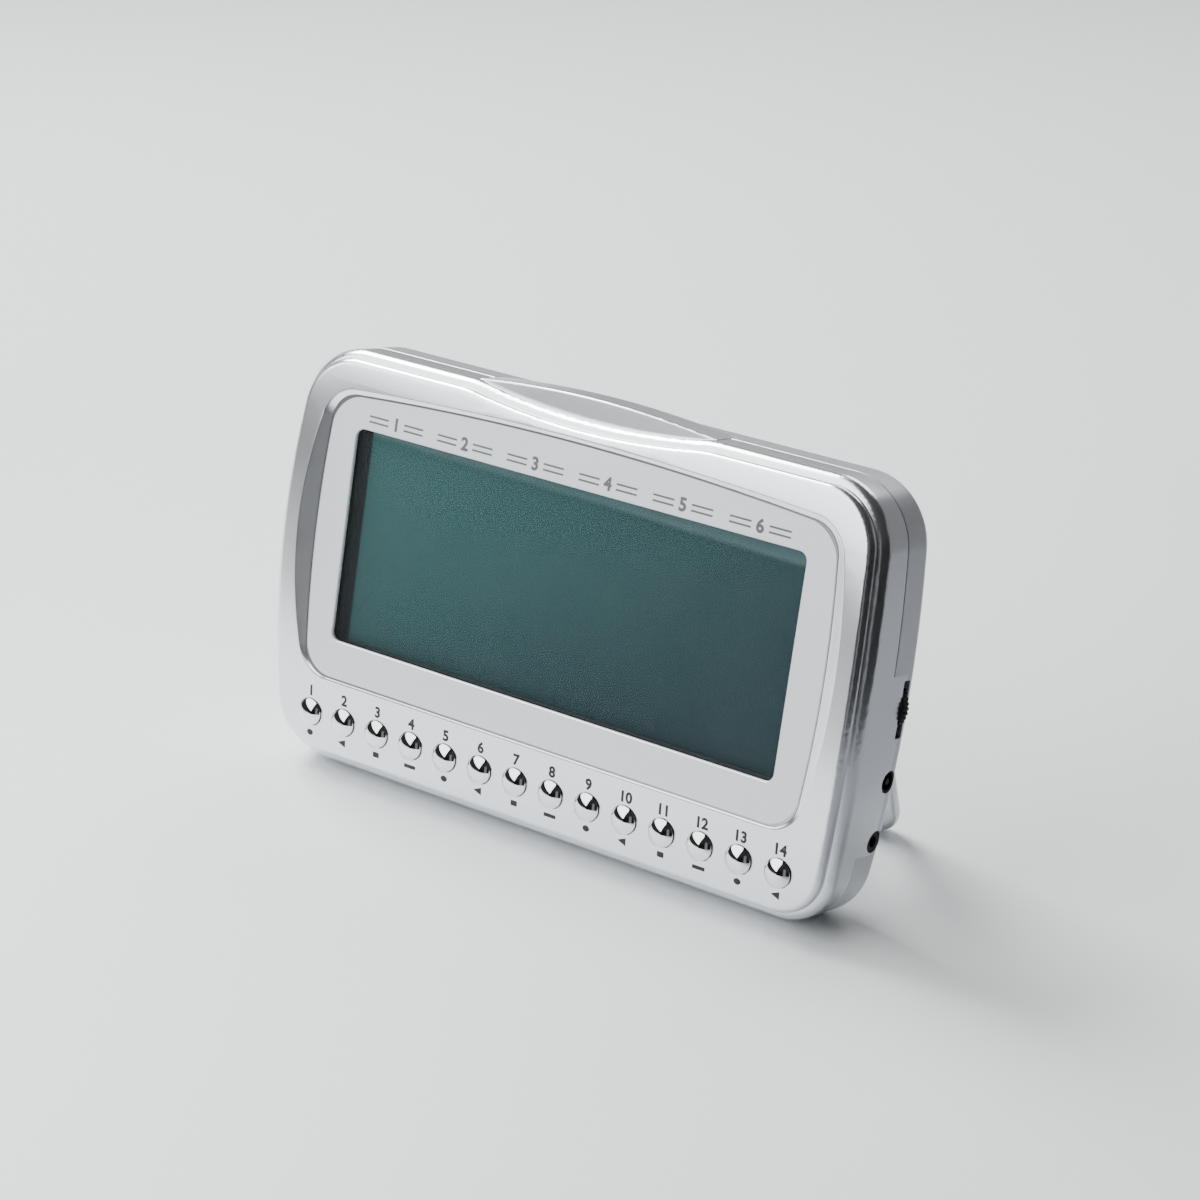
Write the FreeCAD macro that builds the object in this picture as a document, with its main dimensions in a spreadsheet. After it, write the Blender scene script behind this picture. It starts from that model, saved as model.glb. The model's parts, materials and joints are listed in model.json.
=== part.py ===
"""Azan clock: a desk clock with a wide display, fourteen chrome keys and a fold-out stand.

Every piece is drawn in the upright frame of the clock's face: X to the right, Y from the face to
the back, Z up, with the origin at the middle of the display window. At the end the whole clock
leans back on its rear lower edge and its stand, with the origin on the table below its middle.
"""
import FreeCAD, Part
import math
import os

import Sketcher

V = FreeCAD.Vector
PI = math.pi
FRONT_PLANE = "XZ_Plane"
SIDE_PLANE = "YZ_Plane"
TOP_PLANE = "XY_Plane"

# Driving sizes in millimetres and degrees: name, value, meaning.
DRIVING_SIZES = (
    ("window_width", 175.2, "display window"),
    ("window_height", 71.0, "display window"),
    ("side_border", 27.4, "housing beyond the window at each side"),
    ("top_border", 24.5, "housing above the window"),
    ("bottom_border", 42.5, "housing below the window"),
    ("body_depth", 28.0, "rim of the housing, front to back"),
    ("joint_depth", 14.4, "where the front frame meets the rear cover"),
    ("side_joint_inset", 5.6, "the same beside the wheel and the jacks, in front of the rear face"),
    ("tongue_margin", 2.1, "front frame's right-hand tongue above the wheel's slot"),
    ("tongue_end", 23.5, "lower end of that tongue above the housing's bottom"),
    ("wall", 2.2, "housing wall"),
    ("side_radius", 450.0, "bow of the housing's sides"),
    ("side_middle", 3.0, "widest level, below the window's middle"),
    ("corner_top", 22.0, "upper corner radius"),
    ("corner_bottom", 20.0, "lower corner radius"),
    ("crown_radius", 500.0, "vertical crown of the front"),
    ("crown_middle", 2.5, "level of the crown's apex"),
    ("front_rounding", 3.65, "rounding of the frame's outer edge"),
    ("rear_rounding", 4.0, "rounding of the rear cover's edge"),
    ("joint_groove", 0.3, "bevel on each side of the parting line"),
    ("ring_rise", 2.9, "height of the bezel's ring above the outer land"),
    ("ring_inset", 2.8, "ring's foot inside the outline"),
    ("ring_rounding", 2.3, "rounding of the ring's outer slope"),
    ("ring_hollow_inset", 7.5, "hollow behind the ring, inside the outline"),
    ("face_wall", 2.5, "wall of the frame behind its front"),
    ("dish_slope", 60.0, "slope of the bezel down to the panel, from the axis"),
    ("dish_height", 4.0, "height of the tool that cuts that slope"),
    ("crest_rounding", 1.4, "rounding between the ring and its inner slope"),
    ("panel_side_border", 12.2, "panel beyond the window at each side"),
    ("panel_top_border", 14.0, "panel above the window, at its middle"),
    ("panel_bottom_border", 12.9, "panel below the window"),
    ("panel_side_radius", 380.0, "bow of the panel's sides"),
    ("panel_top_radius", 1080.0, "arch of the panel's top edge"),
    ("panel_corner", 10.0, "panel corner radius"),
    ("panel_thickness", 1.2, "panel plate"),
    ("panel_gap", 0.25, "gap round the panel"),
    ("window_corner", 3.0, "window corner radius"),
    ("window_bevel", 0.3, "bevel of the window's front edge"),
    ("seat_depth", 3.4, "rear face of the ledge that carries the panel"),
    ("seat_root", 0.4, "ledge sunk into the wall"),
    ("seat_margin", 2.6, "ledge beyond the panel"),
    ("lens_margin", 3.8, "display lens beyond the window"),
    ("lens_thickness", 1.5, "display lens"),
    ("fit_gap", 0.1, "gap of pieces that seat in one another"),
    ("slide_gap", 0.3, "gap round pieces that move"),
    ("glass_depth", 5.0, "front of the display glass behind the panel's face"),
    ("glass_thickness", 2.8, "display glass"),
    ("glass_margin", 3.2, "display glass beyond the window"),
    ("surround_wall", 3.0, "display surround outside the glass"),
    ("strip_height", 2.4, "elastomer strips between the glass and the board"),
    ("strip_width", 1.8, "elastomer strips"),
    ("board_thickness", 1.6, "circuit boards"),
    ("board_margin", 1.8, "main board beyond the display surround"),
    ("side_board_depth", 11.2, "front of the side board"),
    ("post_radius", 1.8, "posts that carry the boards"),
    ("button_count", 14, "keys in the row"),
    ("key_row_inset", 6.2, "panel beyond the middle of the last keys"),
    ("button_shift", 0.15, "middle of the key row, right of the window's middle"),
    ("button_drop", 26.5, "key row below the window"),
    ("button_radius", 4.55, "chrome cap"),
    ("button_dome", 1.6, "height of the cap's dome"),
    ("button_rise", 0.9, "straight part of the cap above the frame"),
    ("button_flange", 1.05, "flange beyond the cap"),
    ("button_travel", 0.8, "press of a key"),
    ("stem_radius", 1.5, "stem under the cap"),
    ("stem_length", 3.5, "stem under the cap, with its flange"),
    ("switch_size", 6.0, "key switch body"),
    ("switch_height", 3.5, "key switch body"),
    ("plunger_radius", 1.75, "key switch plunger"),
    ("plunger_height", 1.0, "key switch plunger"),
    ("key_board_height", 14.5, "key board"),
    ("key_board_inset", 1.3, "panel beyond the key board at each side"),
    ("ribbon_place", 50.0, "ribbon, right of the window's middle"),
    ("ribbon_width", 20.0, "ribbon between the boards"),
    ("ribbon_thickness", 0.5, "ribbon between the boards"),
    ("ribbon_lap", 7.0, "ribbon on each board"),
    ("ribbon_bend", 3.0, "ribbon's bend below the main board"),
    ("bar_width", 91.4, "snooze bar"),
    ("bar_rise", 2.8, "bar above the housing at its middle"),
    ("bar_sag", 3.8, "scoop of the housing under the bar"),
    ("bar_front", 6.9, "front face of the bar"),
    ("bar_back", 17.5, "rear face of the bar"),
    ("bar_skirt", 8.0, "bar's skirt below the housing's top"),
    ("bar_travel", 0.8, "press of the bar"),
    ("scoop_blend", 40.0, "rounding where the scoop meets the straight top"),
    ("wheel_radius", 9.0, "volume wheel"),
    ("wheel_thickness", 2.6, "volume wheel"),
    ("wheel_proud", 1.3, "wheel beyond the side of the housing"),
    ("wheel_above_power", 22.8, "wheel's axle above the power jack"),
    ("wheel_slot", 18.0, "slot for the wheel"),
    ("axle_radius", 1.5, "wheel's axle"),
    ("axle_fit", 0.05, "running fit of axles"),
    ("jack_radius", 3.5, "nose of a jack"),
    ("jack_size", 8.0, "body of a jack across"),
    ("jack_length", 13.5, "body of a jack"),
    ("audio_rise", 27.8, "audio jack above the housing's bottom"),
    ("jack_pitch", 19.3, "power jack above the audio jack"),
    ("power_bore", 2.75, "mouth of the power jack"),
    ("power_pin", 1.0, "centre pin of the power jack"),
    ("audio_bore", 1.8, "mouth of the audio jack"),
    ("jack_bore_depth", 10.5, "depth of both mouths"),
    ("back_border", 37.0, "housing beyond the raised middle of the back, at each side"),
    ("back_drop", 20.0, "raised middle below the housing's top"),
    ("back_lift", 20.0, "raised middle above the housing's bottom"),
    ("back_raise", 6.0, "raised middle behind the rear face"),
    ("back_corner", 8.0, "corners of the raised middle"),
    ("back_rounding", 2.0, "edge of the raised middle"),
    ("screw_radius", 1.5, "housing screws"),
    ("screw_head_radius", 2.8, "housing screws"),
    ("screw_head_height", 2.0, "housing screws"),
    ("screw_length", 12.0, "housing screws below the head"),
    ("screw_inset", 8.0, "seat of the screw heads in front of the rear face"),
    ("upper_screw_inset", 12.0, "upper screws from the side"),
    ("upper_screw_drop", 16.0, "upper screws below the top"),
    ("lower_screw_inset", 10.4, "lower screws from the side"),
    ("lower_screw_rise", 18.5, "lower screws above the bottom"),
    ("inner_screw_spacing", 80.0, "screws between display and keys, side to side"),
    ("inner_screw_drop", 0.9, "the same below the panel"),
    ("screw_clearance", 0.2, "gap round the screws' shanks"),
    ("boss_wall", 1.2, "wall round the screw heads"),
    ("boss_radius", 3.2, "screw bosses in the front frame"),
    ("boss_end", 16.0, "end of the front bosses"),
    ("cell_radius", 7.1, "AA cell"),
    ("cell_length", 49.5, "AA cell without its nub"),
    ("cell_nub_radius", 2.7, "nub of a cell"),
    ("cell_nub_height", 1.0, "nub of a cell"),
    ("cell_count", 3, "cells"),
    ("cell_pitch", 14.6, "cell to cell"),
    ("bay_inset", 36.8, "middle of the battery bay from the raised middle's side"),
    ("bay_level", 1.0, "middle of the battery bay, below the window's middle"),
    ("bay_height", 46.0, "inside of the battery bay"),
    ("bay_depth", 18.6, "outside of the bay's floor in front of the raised middle's face"),
    ("bay_wall", 1.6, "wall of the battery bay"),
    ("spring_length", 4.2, "battery spring"),
    ("spring_radius", 3.6, "widest turn of a battery spring"),
    ("contact_thickness", 0.4, "battery contact plates"),
    ("door_ledge", 2.2, "ledge under the door at each side"),
    ("door_open", 55.0, "opening of the battery door in degrees"),
    ("tab_width", 8.0, "tabs of the battery door"),
    ("tab_length", 2.4, "tabs below the door's edge"),
    ("tab_spacing", 40.0, "tab to tab"),
    ("tab_room", 4.2, "depth of the slots that the tabs swing in"),
    ("speaker_inset", 40.0, "middle of the loudspeaker from the raised middle's side"),
    ("speaker_level", 7.0, "loudspeaker below the window's middle"),
    ("speaker_radius", 25.0, "loudspeaker rim"),
    ("speaker_depth", 14.0, "loudspeaker, rim to magnet"),
    ("magnet_radius", 12.0, "loudspeaker magnet"),
    ("magnet_thickness", 5.0, "loudspeaker magnet"),
    ("grille_slot", 2.4, "width of a grille slot"),
    ("grille_pitch", 4.8, "slot to slot"),
    ("grille_count", 9, "grille slots"),
    ("keyhole_spacing", 110.0, "wall-hanging keyholes, side to side"),
    ("keyhole_drop", 14.5, "keyholes below the housing's top"),
    ("keyhole_radius", 4.0, "entry of a keyhole"),
    ("keyhole_slot", 2.0, "half width of a keyhole's slot"),
    ("keyhole_rise", 7.0, "height of a keyhole's slot"),
    ("stand_side_gap", 0.4, "stand's legs beside the raised middle"),
    ("stand_leg", 11.2, "width of a leg"),
    ("stand_foot", 16.0, "height of the foot bar"),
    ("stand_thickness", 5.0, "stand plate"),
    ("stand_clear", 1.0, "folded stand above the housing's bottom"),
    ("stand_heel", 3.5, "leg above the pivot"),
    ("stand_corner", 10.0, "outer corner of the foot"),
    ("pivot_drop", 10.0, "stand pivot below the top of the raised middle"),
    ("pivot_raise", 2.8, "stand pivot behind the rear face"),
    ("trunnion_radius", 1.8, "pins of the stand"),
    ("trunnion_length", 3.6, "pins of the stand"),
    ("lean", 13.0, "lean of the face from upright, in degrees"),
    ("land_relief", 0.3, "flat cut on the rear lower edge, where the clock stands"),
)

# Sizes that follow the driving ones: name, formula, meaning.
FOLLOWING_SIZES = (
    ("body_width", "window_width + 2 * side_border", "housing, side to side"),
    ("body_top", "window_height / 2 + top_border", "top of the housing above the window's middle"),
    ("body_bottom", "window_height / 2 + bottom_border", "bottom of the housing below it"),
    ("side_joint_depth", "body_depth - side_joint_inset", "parting line beside the wheel and the jacks"),
    ("audio_level", "body_bottom - audio_rise", "audio jack below the window's middle"),
    ("power_level", "audio_level - jack_pitch", "power jack below the window's middle"),
    ("wheel_level", "power_level - wheel_above_power", "wheel's axle below the window's middle"),
    ("tongue_top", "wheel_slot / 2 + tongue_margin - wheel_level", "upper end of the tongue"),
    ("tongue_bottom", "body_bottom - tongue_end", "lower end of the tongue, below the middle"),
    ("panel_width", "window_width + 2 * panel_side_border", "display panel at its widest"),
    ("panel_top", "window_height / 2 + panel_top_border", "top of the panel at its middle"),
    ("panel_bottom", "window_height / 2 + panel_bottom_border", "bottom of the panel, below the middle"),
    ("button_pitch", "(panel_width - 2 * key_row_inset) / (button_count - 1)", "key to key"),
    ("button_level", "window_height / 2 + button_drop", "key row below the window's middle"),
    ("key_board_width", "panel_width - 2 * key_board_inset", "key board"),
    ("back_width", "body_width - 2 * back_border", "raised middle of the back"),
    ("back_top", "body_top - back_drop", "top of the raised middle"),
    ("back_bottom", "body_bottom - back_lift", "bottom of the raised middle, below the middle"),
    ("back_depth", "body_depth + back_raise", "rear face of the raised middle"),
    ("screw_seat", "body_depth - screw_inset", "depth of the seat of the screw heads"),
    ("bay_middle", "back_width / 2 - bay_inset", "battery bay, left of the window's middle"),
    ("bay_floor", "back_depth - bay_depth", "front face of the bay's floor"),
    ("speaker_middle", "back_width / 2 - speaker_inset", "loudspeaker, right of the window's middle"),
    ("keyhole_level", "body_top - keyhole_drop", "keyholes above the window's middle"),
    ("stand_width", "back_width + 2 * (stand_side_gap + stand_leg)", "stand, side to side"),
    ("pivot_level", "back_top - pivot_drop", "stand pivot above the window's middle"),
    ("pivot_depth", "body_depth + pivot_raise", "stand pivot behind the face"),
    ("stand_reach", "pivot_level + body_bottom - stand_clear", "pivot to the end of the foot"),
)

doc = FreeCAD.newDocument("AzanClock")
sheet = doc.addObject("Spreadsheet::Sheet", "Sizes")


def fill_row(row, alias, text, meaning):
    """Put one size into the sheet under its alias."""
    sheet.set(f"A{row}", alias)
    sheet.set(f"B{row}", text)
    sheet.set(f"C{row}", meaning)
    sheet.setAlias(f"B{row}", alias)


for number, (name, value, note) in enumerate(DRIVING_SIZES, start=1):
    fill_row(number, name, str(value), note)
doc.recompute()
for number, (name, formula, note) in enumerate(FOLLOWING_SIZES, start=len(DRIVING_SIZES) + 1):
    fill_row(number, name, "=" + formula, note)
    doc.recompute()

PIECES = {}


def size(alias):
    """A driving size from the sheet."""
    return float(sheet.get(alias))


def bound(text):
    """Write the aliases in an expression as references to the sheet."""
    words = []
    word = ""
    for letter in text + " ":
        if letter.isalnum() or letter == "_":
            word += letter
            continue
        if word in KNOWN_ALIASES:
            word = "Sizes." + word
        words.append(word + letter)
        word = ""
    return "".join(words).strip()


KNOWN_ALIASES = {entry[0] for entry in DRIVING_SIZES + FOLLOWING_SIZES}


def amount(expression):
    """The present value of an expression in driving sizes."""
    return float(sheet.evalExpression(bound(str(expression))))


def new_body(label):
    """A PartDesign body that becomes the node of that name."""
    body = doc.addObject("PartDesign::Body", label)
    body.Label = label
    PIECES[label] = body
    return body


def tool_body(label):
    """A body that only shapes another one."""
    body = doc.addObject("PartDesign::Body", label)
    body.Label = label
    return body


def origin_plane(body, role):
    """One of the body's own origin planes."""
    return next(plane for plane in body.Origin.OriginFeatures if plane.Role == role)


def new_sketch(body, name, role=FRONT_PLANE, depth="0"):
    """A sketch on an origin plane, moved to a depth along Y, X or Z."""
    sketch = body.newObject("Sketcher::SketchObject", name)
    sketch.AttachmentSupport = [(origin_plane(body, role), "")]
    sketch.MapMode = "FlatFace"
    sign = "-" if role == FRONT_PLANE else ""
    sketch.setExpression("AttachmentOffset.Base.z", bound(f"{sign}({depth})"))
    return sketch


def bind_constraint(sketch, constraint, expression):
    """Add a constraint whose value follows an expression."""
    index = sketch.addConstraint(constraint)
    sketch.setExpression(f"Constraints[{index}]", bound(str(expression)))


def circle(sketch, across, up, radius):
    """A circle whose middle and radius follow expressions."""
    middle = V(amount(across), amount(up), 0)
    shape = Part.Circle(middle, V(0, 0, 1), amount(radius))
    index = sketch.addGeometry(shape, False)
    bind_constraint(sketch, Sketcher.Constraint("Radius", index, amount(radius)), radius)
    bind_constraint(sketch, Sketcher.Constraint("DistanceX", index, 3, middle.x), across)
    bind_constraint(sketch, Sketcher.Constraint("DistanceY", index, 3, middle.y), up)


def rectangle(sketch, left, right, low, high):
    """A rectangle whose four sides follow expressions."""
    x0, x1 = amount(left), amount(right)
    y0, y1 = amount(low), amount(high)
    corners = (V(x0, y0, 0), V(x1, y0, 0), V(x1, y1, 0), V(x0, y1, 0))
    first = sketch.GeometryCount
    for step in range(4):
        sketch.addGeometry(Part.LineSegment(corners[step], corners[(step + 1) % 4]), False)
    for step in range(4):
        joined = Sketcher.Constraint("Coincident", first + step, 2, first + (step + 1) % 4, 1)
        sketch.addConstraint(joined)
    for step, kind in enumerate(("Horizontal", "Vertical", "Horizontal", "Vertical")):
        sketch.addConstraint(Sketcher.Constraint(kind, first + step))
    bind_constraint(sketch, Sketcher.Constraint("DistanceX", first, 1, x0), left)
    bind_constraint(sketch, Sketcher.Constraint("DistanceX", first, 2, x1), right)
    bind_constraint(sketch, Sketcher.Constraint("DistanceY", first, 1, y0), low)
    bind_constraint(sketch, Sketcher.Constraint("DistanceY", first + 2, 1, y1), high)


def arc(across, up, radius, start, end):
    """An arc of a circle in a sketch, anticlockwise between two angles."""
    return Part.ArcOfCircle(Part.Circle(V(across, up, 0), V(0, 0, 1), radius), start, end)


def rounded_rectangle(sketch, left, right, low, high, radius):
    """A rectangle with rounded corners whose sides and radius follow expressions."""
    x0, x1 = amount(left), amount(right)
    y0, y1 = amount(low), amount(high)
    r = amount(radius)
    first = sketch.GeometryCount
    curves = (
        Part.LineSegment(V(x0 + r, y0, 0), V(x1 - r, y0, 0)),
        arc(x1 - r, y0 + r, r, -PI / 2, 0),
        Part.LineSegment(V(x1, y0 + r, 0), V(x1, y1 - r, 0)),
        arc(x1 - r, y1 - r, r, 0, PI / 2),
        Part.LineSegment(V(x1 - r, y1, 0), V(x0 + r, y1, 0)),
        arc(x0 + r, y1 - r, r, PI / 2, PI),
        Part.LineSegment(V(x0, y1 - r, 0), V(x0, y0 + r, 0)),
        arc(x0 + r, y0 + r, r, PI, 3 * PI / 2),
    )
    add_smooth_loop(sketch, curves)
    for step in (0, 4):
        sketch.addConstraint(Sketcher.Constraint("Horizontal", first + step))
    for step in (2, 6):
        sketch.addConstraint(Sketcher.Constraint("Vertical", first + step))
    for step in (1, 3, 5, 7):
        bind_constraint(sketch, Sketcher.Constraint("Radius", first + step, r), radius)
    bind_constraint(sketch, Sketcher.Constraint("DistanceX", first + 6, 1, x0), left)
    bind_constraint(sketch, Sketcher.Constraint("DistanceX", first + 2, 1, x1), right)
    bind_constraint(sketch, Sketcher.Constraint("DistanceY", first, 1, y0), low)
    bind_constraint(sketch, Sketcher.Constraint("DistanceY", first + 4, 1, y1), high)


def add_smooth_loop(sketch, curves, clockwise=()):
    """A closed run of curves, each tangent to the next; hollow arcs run clockwise."""
    first = sketch.GeometryCount
    for curve in curves:
        sketch.addGeometry(curve, False)
    count = len(curves)
    for step in range(count):
        following = (step + 1) % count
        leave = 1 if step in clockwise else 2
        arrive = 2 if following in clockwise else 1
        tangent = Sketcher.Constraint("Tangent", first + step, leave, first + following, arrive)
        sketch.addConstraint(tangent)


def add_polygon(sketch, corners):
    """A closed run of straight lines through points worked out from the sizes."""
    first = sketch.GeometryCount
    count = len(corners)
    for step in range(count):
        start = V(corners[step][0], corners[step][1], 0)
        end = V(corners[(step + 1) % count][0], corners[(step + 1) % count][1], 0)
        sketch.addGeometry(Part.LineSegment(start, end), False)
    for step in range(count):
        joined = Sketcher.Constraint("Coincident", first + step, 2, first + (step + 1) % count, 1)
        sketch.addConstraint(joined)


def pad(body, sketch, length, towards_back=True):
    """Extrude a sketch by an expression."""
    feature = body.newObject("PartDesign::Pad", sketch.Name + "_pad")
    feature.Profile = sketch
    feature.Reversed = towards_back
    feature.setExpression("Length", bound(str(length)))
    doc.recompute()
    return feature


def pocket(body, sketch, length, towards_back=True, through=False):
    """Cut a sketch to an expression's depth, and make sure that it cuts."""
    before = body.Tip.Shape.Volume
    feature = body.newObject("PartDesign::Pocket", sketch.Name + "_pocket")
    feature.Profile = sketch
    feature.Reversed = not towards_back
    if through:
        feature.Type = "ThroughAll"
        feature.Midplane = True
    else:
        feature.setExpression("Length", bound(str(length)))
    doc.recompute()
    assert feature.Shape.Volume < before - 1e-6, f"{feature.Name} cuts nothing"
    return feature


def boolean(body, other, kind):
    """Join another body to this one, or cut it away."""
    feature = body.newObject("PartDesign::Boolean", other.Name + "_" + kind.lower())
    feature.Type = kind
    feature.setObjects([other])
    doc.recompute()
    return feature


def round_edges(body, radius, chosen, name, bevel=False):
    """Fillet or bevel the edges of the body's last feature that a test picks."""
    base = body.Tip
    names = [f"Edge{i}" for i, edge in enumerate(base.Shape.Edges, start=1) if chosen(edge)]
    assert names, f"{name} finds no edge"
    kind = "PartDesign::Chamfer" if bevel else "PartDesign::Fillet"
    feature = body.newObject(kind, name)
    feature.Base = (base, names)
    feature.setExpression("Size" if bevel else "Radius", bound(str(radius)))
    doc.recompute()
    return feature


def at_depth(depth):
    """A test for edges that lie in one plane across Y."""
    def test(edge):
        box = edge.BoundBox
        return abs(box.YMin - depth) < 0.01 and abs(box.YMax - depth) < 0.01
    return test


def revolve(body, sketch):
    """Turn a sketch on the side plane about the body's Y axis."""
    feature = body.newObject("PartDesign::Revolution", sketch.Name + "_turned")
    feature.Profile = sketch
    feature.ReferenceAxis = (sketch, ["H_Axis"])
    feature.Angle = 360
    doc.recompute()
    return feature


# ---------------------------------------------------------------- outlines of the housing

def side_centre():
    """Middle of the circle that the right-hand side follows."""
    return size("body_width") / 2 - size("side_radius"), -size("side_middle")


def corner_centre(level, radius):
    """Middle of a corner that is tangent to the bowed side."""
    across, up = side_centre()
    reach = size("side_radius") - radius
    return across + math.sqrt(reach ** 2 - (level - up) ** 2)


def side_of_housing(level):
    """Half width of the housing at a level."""
    across, up = side_centre()
    return across + math.sqrt(size("side_radius") ** 2 - (level - up) ** 2)


def scoop_radius():
    """Radius of the scoop in the top, from its chord and its sag."""
    return (size("bar_width") ** 2 / 4 + size("bar_sag") ** 2) / (2 * size("bar_sag"))


def housing_outline(sketch, inset="0", scooped=False):
    """The rounded outline with bowed sides, offset inwards, with or without the bar's scoop."""
    gap = amount(inset)
    top, bottom = size("body_top"), -size("body_bottom")
    upper, lower = size("corner_top"), size("corner_bottom")
    bow = size("side_radius")
    middle, level = side_centre()
    x_top = corner_centre(top - upper, upper)
    x_bottom = corner_centre(bottom + lower, lower)
    up = math.atan2(top - upper - level, x_top - middle)
    down = math.atan2(bottom + lower - level, x_bottom - middle)
    if scooped:
        top_edge = scooped_edge(gap, x_top)
    else:
        top_edge = [Part.LineSegment(V(x_top, top - gap, 0), V(-x_top, top - gap, 0))]
    first = sketch.GeometryCount
    curves = [arc(middle, level, bow - gap, down, up), arc(x_top, top - upper, upper - gap, up, PI / 2)]
    curves += top_edge
    curves += [
        arc(-x_top, top - upper, upper - gap, PI / 2, PI - up),
        arc(-middle, level, bow - gap, PI - up, PI - down),
        arc(-x_bottom, bottom + lower, lower - gap, PI - down, 3 * PI / 2),
        Part.LineSegment(V(-x_bottom, bottom + gap, 0), V(x_bottom, bottom + gap, 0)),
        arc(x_bottom, bottom + lower, lower - gap, -PI / 2, down),
    ]
    add_smooth_loop(sketch, curves, clockwise=(4,) if scooped else ())
    last = first + len(curves) - 1
    for index in (first, last - 3):
        radius = Sketcher.Constraint("Radius", index, bow - gap)
        bind_constraint(sketch, radius, f"side_radius - ({inset})")
    for index in (first + 1, last - 4):
        radius = Sketcher.Constraint("Radius", index, upper - gap)
        bind_constraint(sketch, radius, f"corner_top - ({inset})")
    for index in (last - 2, last):
        radius = Sketcher.Constraint("Radius", index, lower - gap)
        bind_constraint(sketch, radius, f"corner_bottom - ({inset})")
    place = Sketcher.Constraint("DistanceX", first, 3, middle)
    bind_constraint(sketch, place, "body_width / 2 - side_radius")
    place = Sketcher.Constraint("DistanceX", last - 3, 3, -middle)
    bind_constraint(sketch, place, "side_radius - body_width / 2")
    for index in (first, last - 3):
        bind_constraint(sketch, Sketcher.Constraint("DistanceY", index, 3, level), "-side_middle")
    sketch.addConstraint(Sketcher.Constraint("Horizontal", last - 1))
    place = Sketcher.Constraint("DistanceY", last - 1, 1, bottom + gap)
    bind_constraint(sketch, place, f"({inset}) - body_bottom")
    for index in (first + 2, last - 5) if scooped else (first + 2,):
        sketch.addConstraint(Sketcher.Constraint("Horizontal", index))
        place = Sketcher.Constraint("DistanceY", index, 1, top - gap)
        bind_constraint(sketch, place, f"body_top - ({inset})")
    if scooped:
        for index in (first + 3, first + 5):
            radius = Sketcher.Constraint("Radius", index, size("scoop_blend") - gap)
            bind_constraint(sketch, radius, f"scoop_blend - ({inset})")
        deep = "(pow(bar_width / 2; 2) + pow(bar_sag; 2)) / (2 * bar_sag)"
        radius = Sketcher.Constraint("Radius", first + 4, scoop_radius() + gap)
        bind_constraint(sketch, radius, f"{deep} + ({inset})")
        scoop_up = top - size("bar_sag") + scoop_radius()
        place = Sketcher.Constraint("DistanceY", first + 4, 3, scoop_up)
        bind_constraint(sketch, place, f"body_top - bar_sag + {deep}")
        sketch.addConstraint(Sketcher.Constraint("PointOnObject", first + 4, 3, -2))


def scooped_edge(gap, x_top):
    """Top edge of the outline, right to left, with the scoop blended into it."""
    top = size("body_top")
    blend = size("scoop_blend")
    scoop = scoop_radius()
    scoop_up = top - size("bar_sag") + scoop
    x_blend = math.sqrt((scoop + blend) ** 2 - (scoop_up - top + blend) ** 2)
    lean = math.atan2(x_blend, scoop_up - top + blend)
    return [
        Part.LineSegment(V(x_top, top - gap, 0), V(x_blend, top - gap, 0)),
        arc(x_blend, top - blend, blend - gap, PI / 2, PI / 2 + lean),
        scoop_arc(scoop_up, scoop + gap, lean),
        arc(-x_blend, top - blend, blend - gap, PI / 2 - lean, PI / 2),
        Part.LineSegment(V(-x_blend, top - gap, 0), V(-x_top, top - gap, 0)),
    ]


def scoop_arc(up, radius, lean):
    """The hollow arc of the scoop."""
    return arc(0, up, radius, -PI / 2 - lean, -PI / 2 + lean)


def panel_outline(sketch, inset="0"):
    """Outline of the display panel: bowed sides, arched top, straight bottom."""
    gap = amount(inset)
    bow = size("panel_side_radius")
    arch = size("panel_top_radius")
    corner = size("panel_corner")
    top, bottom = size("panel_top"), -size("panel_bottom")
    middle = size("panel_width") / 2 - bow
    x_bottom = middle + math.sqrt((bow - corner) ** 2 - (bottom + corner) ** 2)
    x_top, z_top = circles_meet(middle, 0, bow - corner, 0, top - arch, arch - corner)
    up = math.atan2(z_top, x_top - middle)
    down = math.atan2(bottom + corner, x_bottom - middle)
    tilt = math.atan2(z_top - (top - arch), x_top)
    curves = [
        arc(middle, 0, bow - gap, down, up),
        arc(x_top, z_top, corner - gap, up, tilt),
        arc(0, top - arch, arch - gap, tilt, PI - tilt),
        arc(-x_top, z_top, corner - gap, PI - tilt, PI - up),
        arc(-middle, 0, bow - gap, PI - up, PI - down),
        arc(-x_bottom, bottom + corner, corner - gap, PI - down, 3 * PI / 2),
        Part.LineSegment(V(-x_bottom, bottom + gap, 0), V(x_bottom, bottom + gap, 0)),
        arc(x_bottom, bottom + corner, corner - gap, -PI / 2, down),
    ]
    add_smooth_loop(sketch, curves)


def circles_meet(x0, y0, r0, x1, y1, r1):
    """The crossing of two circles that lies to the upper right."""
    apart = math.hypot(x1 - x0, y1 - y0)
    along = (apart ** 2 + r0 ** 2 - r1 ** 2) / (2 * apart)
    aside = math.sqrt(r0 ** 2 - along ** 2)
    ux, uy = (x1 - x0) / apart, (y1 - y0) / apart
    options = [(x0 + along * ux + turn * aside * -uy, y0 + along * uy + turn * aside * ux) for turn in (1, -1)]
    return max(options)


def crown(level):
    """How far the crowned front lies behind its apex at a level."""
    return (level - size("crown_middle")) ** 2 / (2 * size("crown_radius"))


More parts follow.
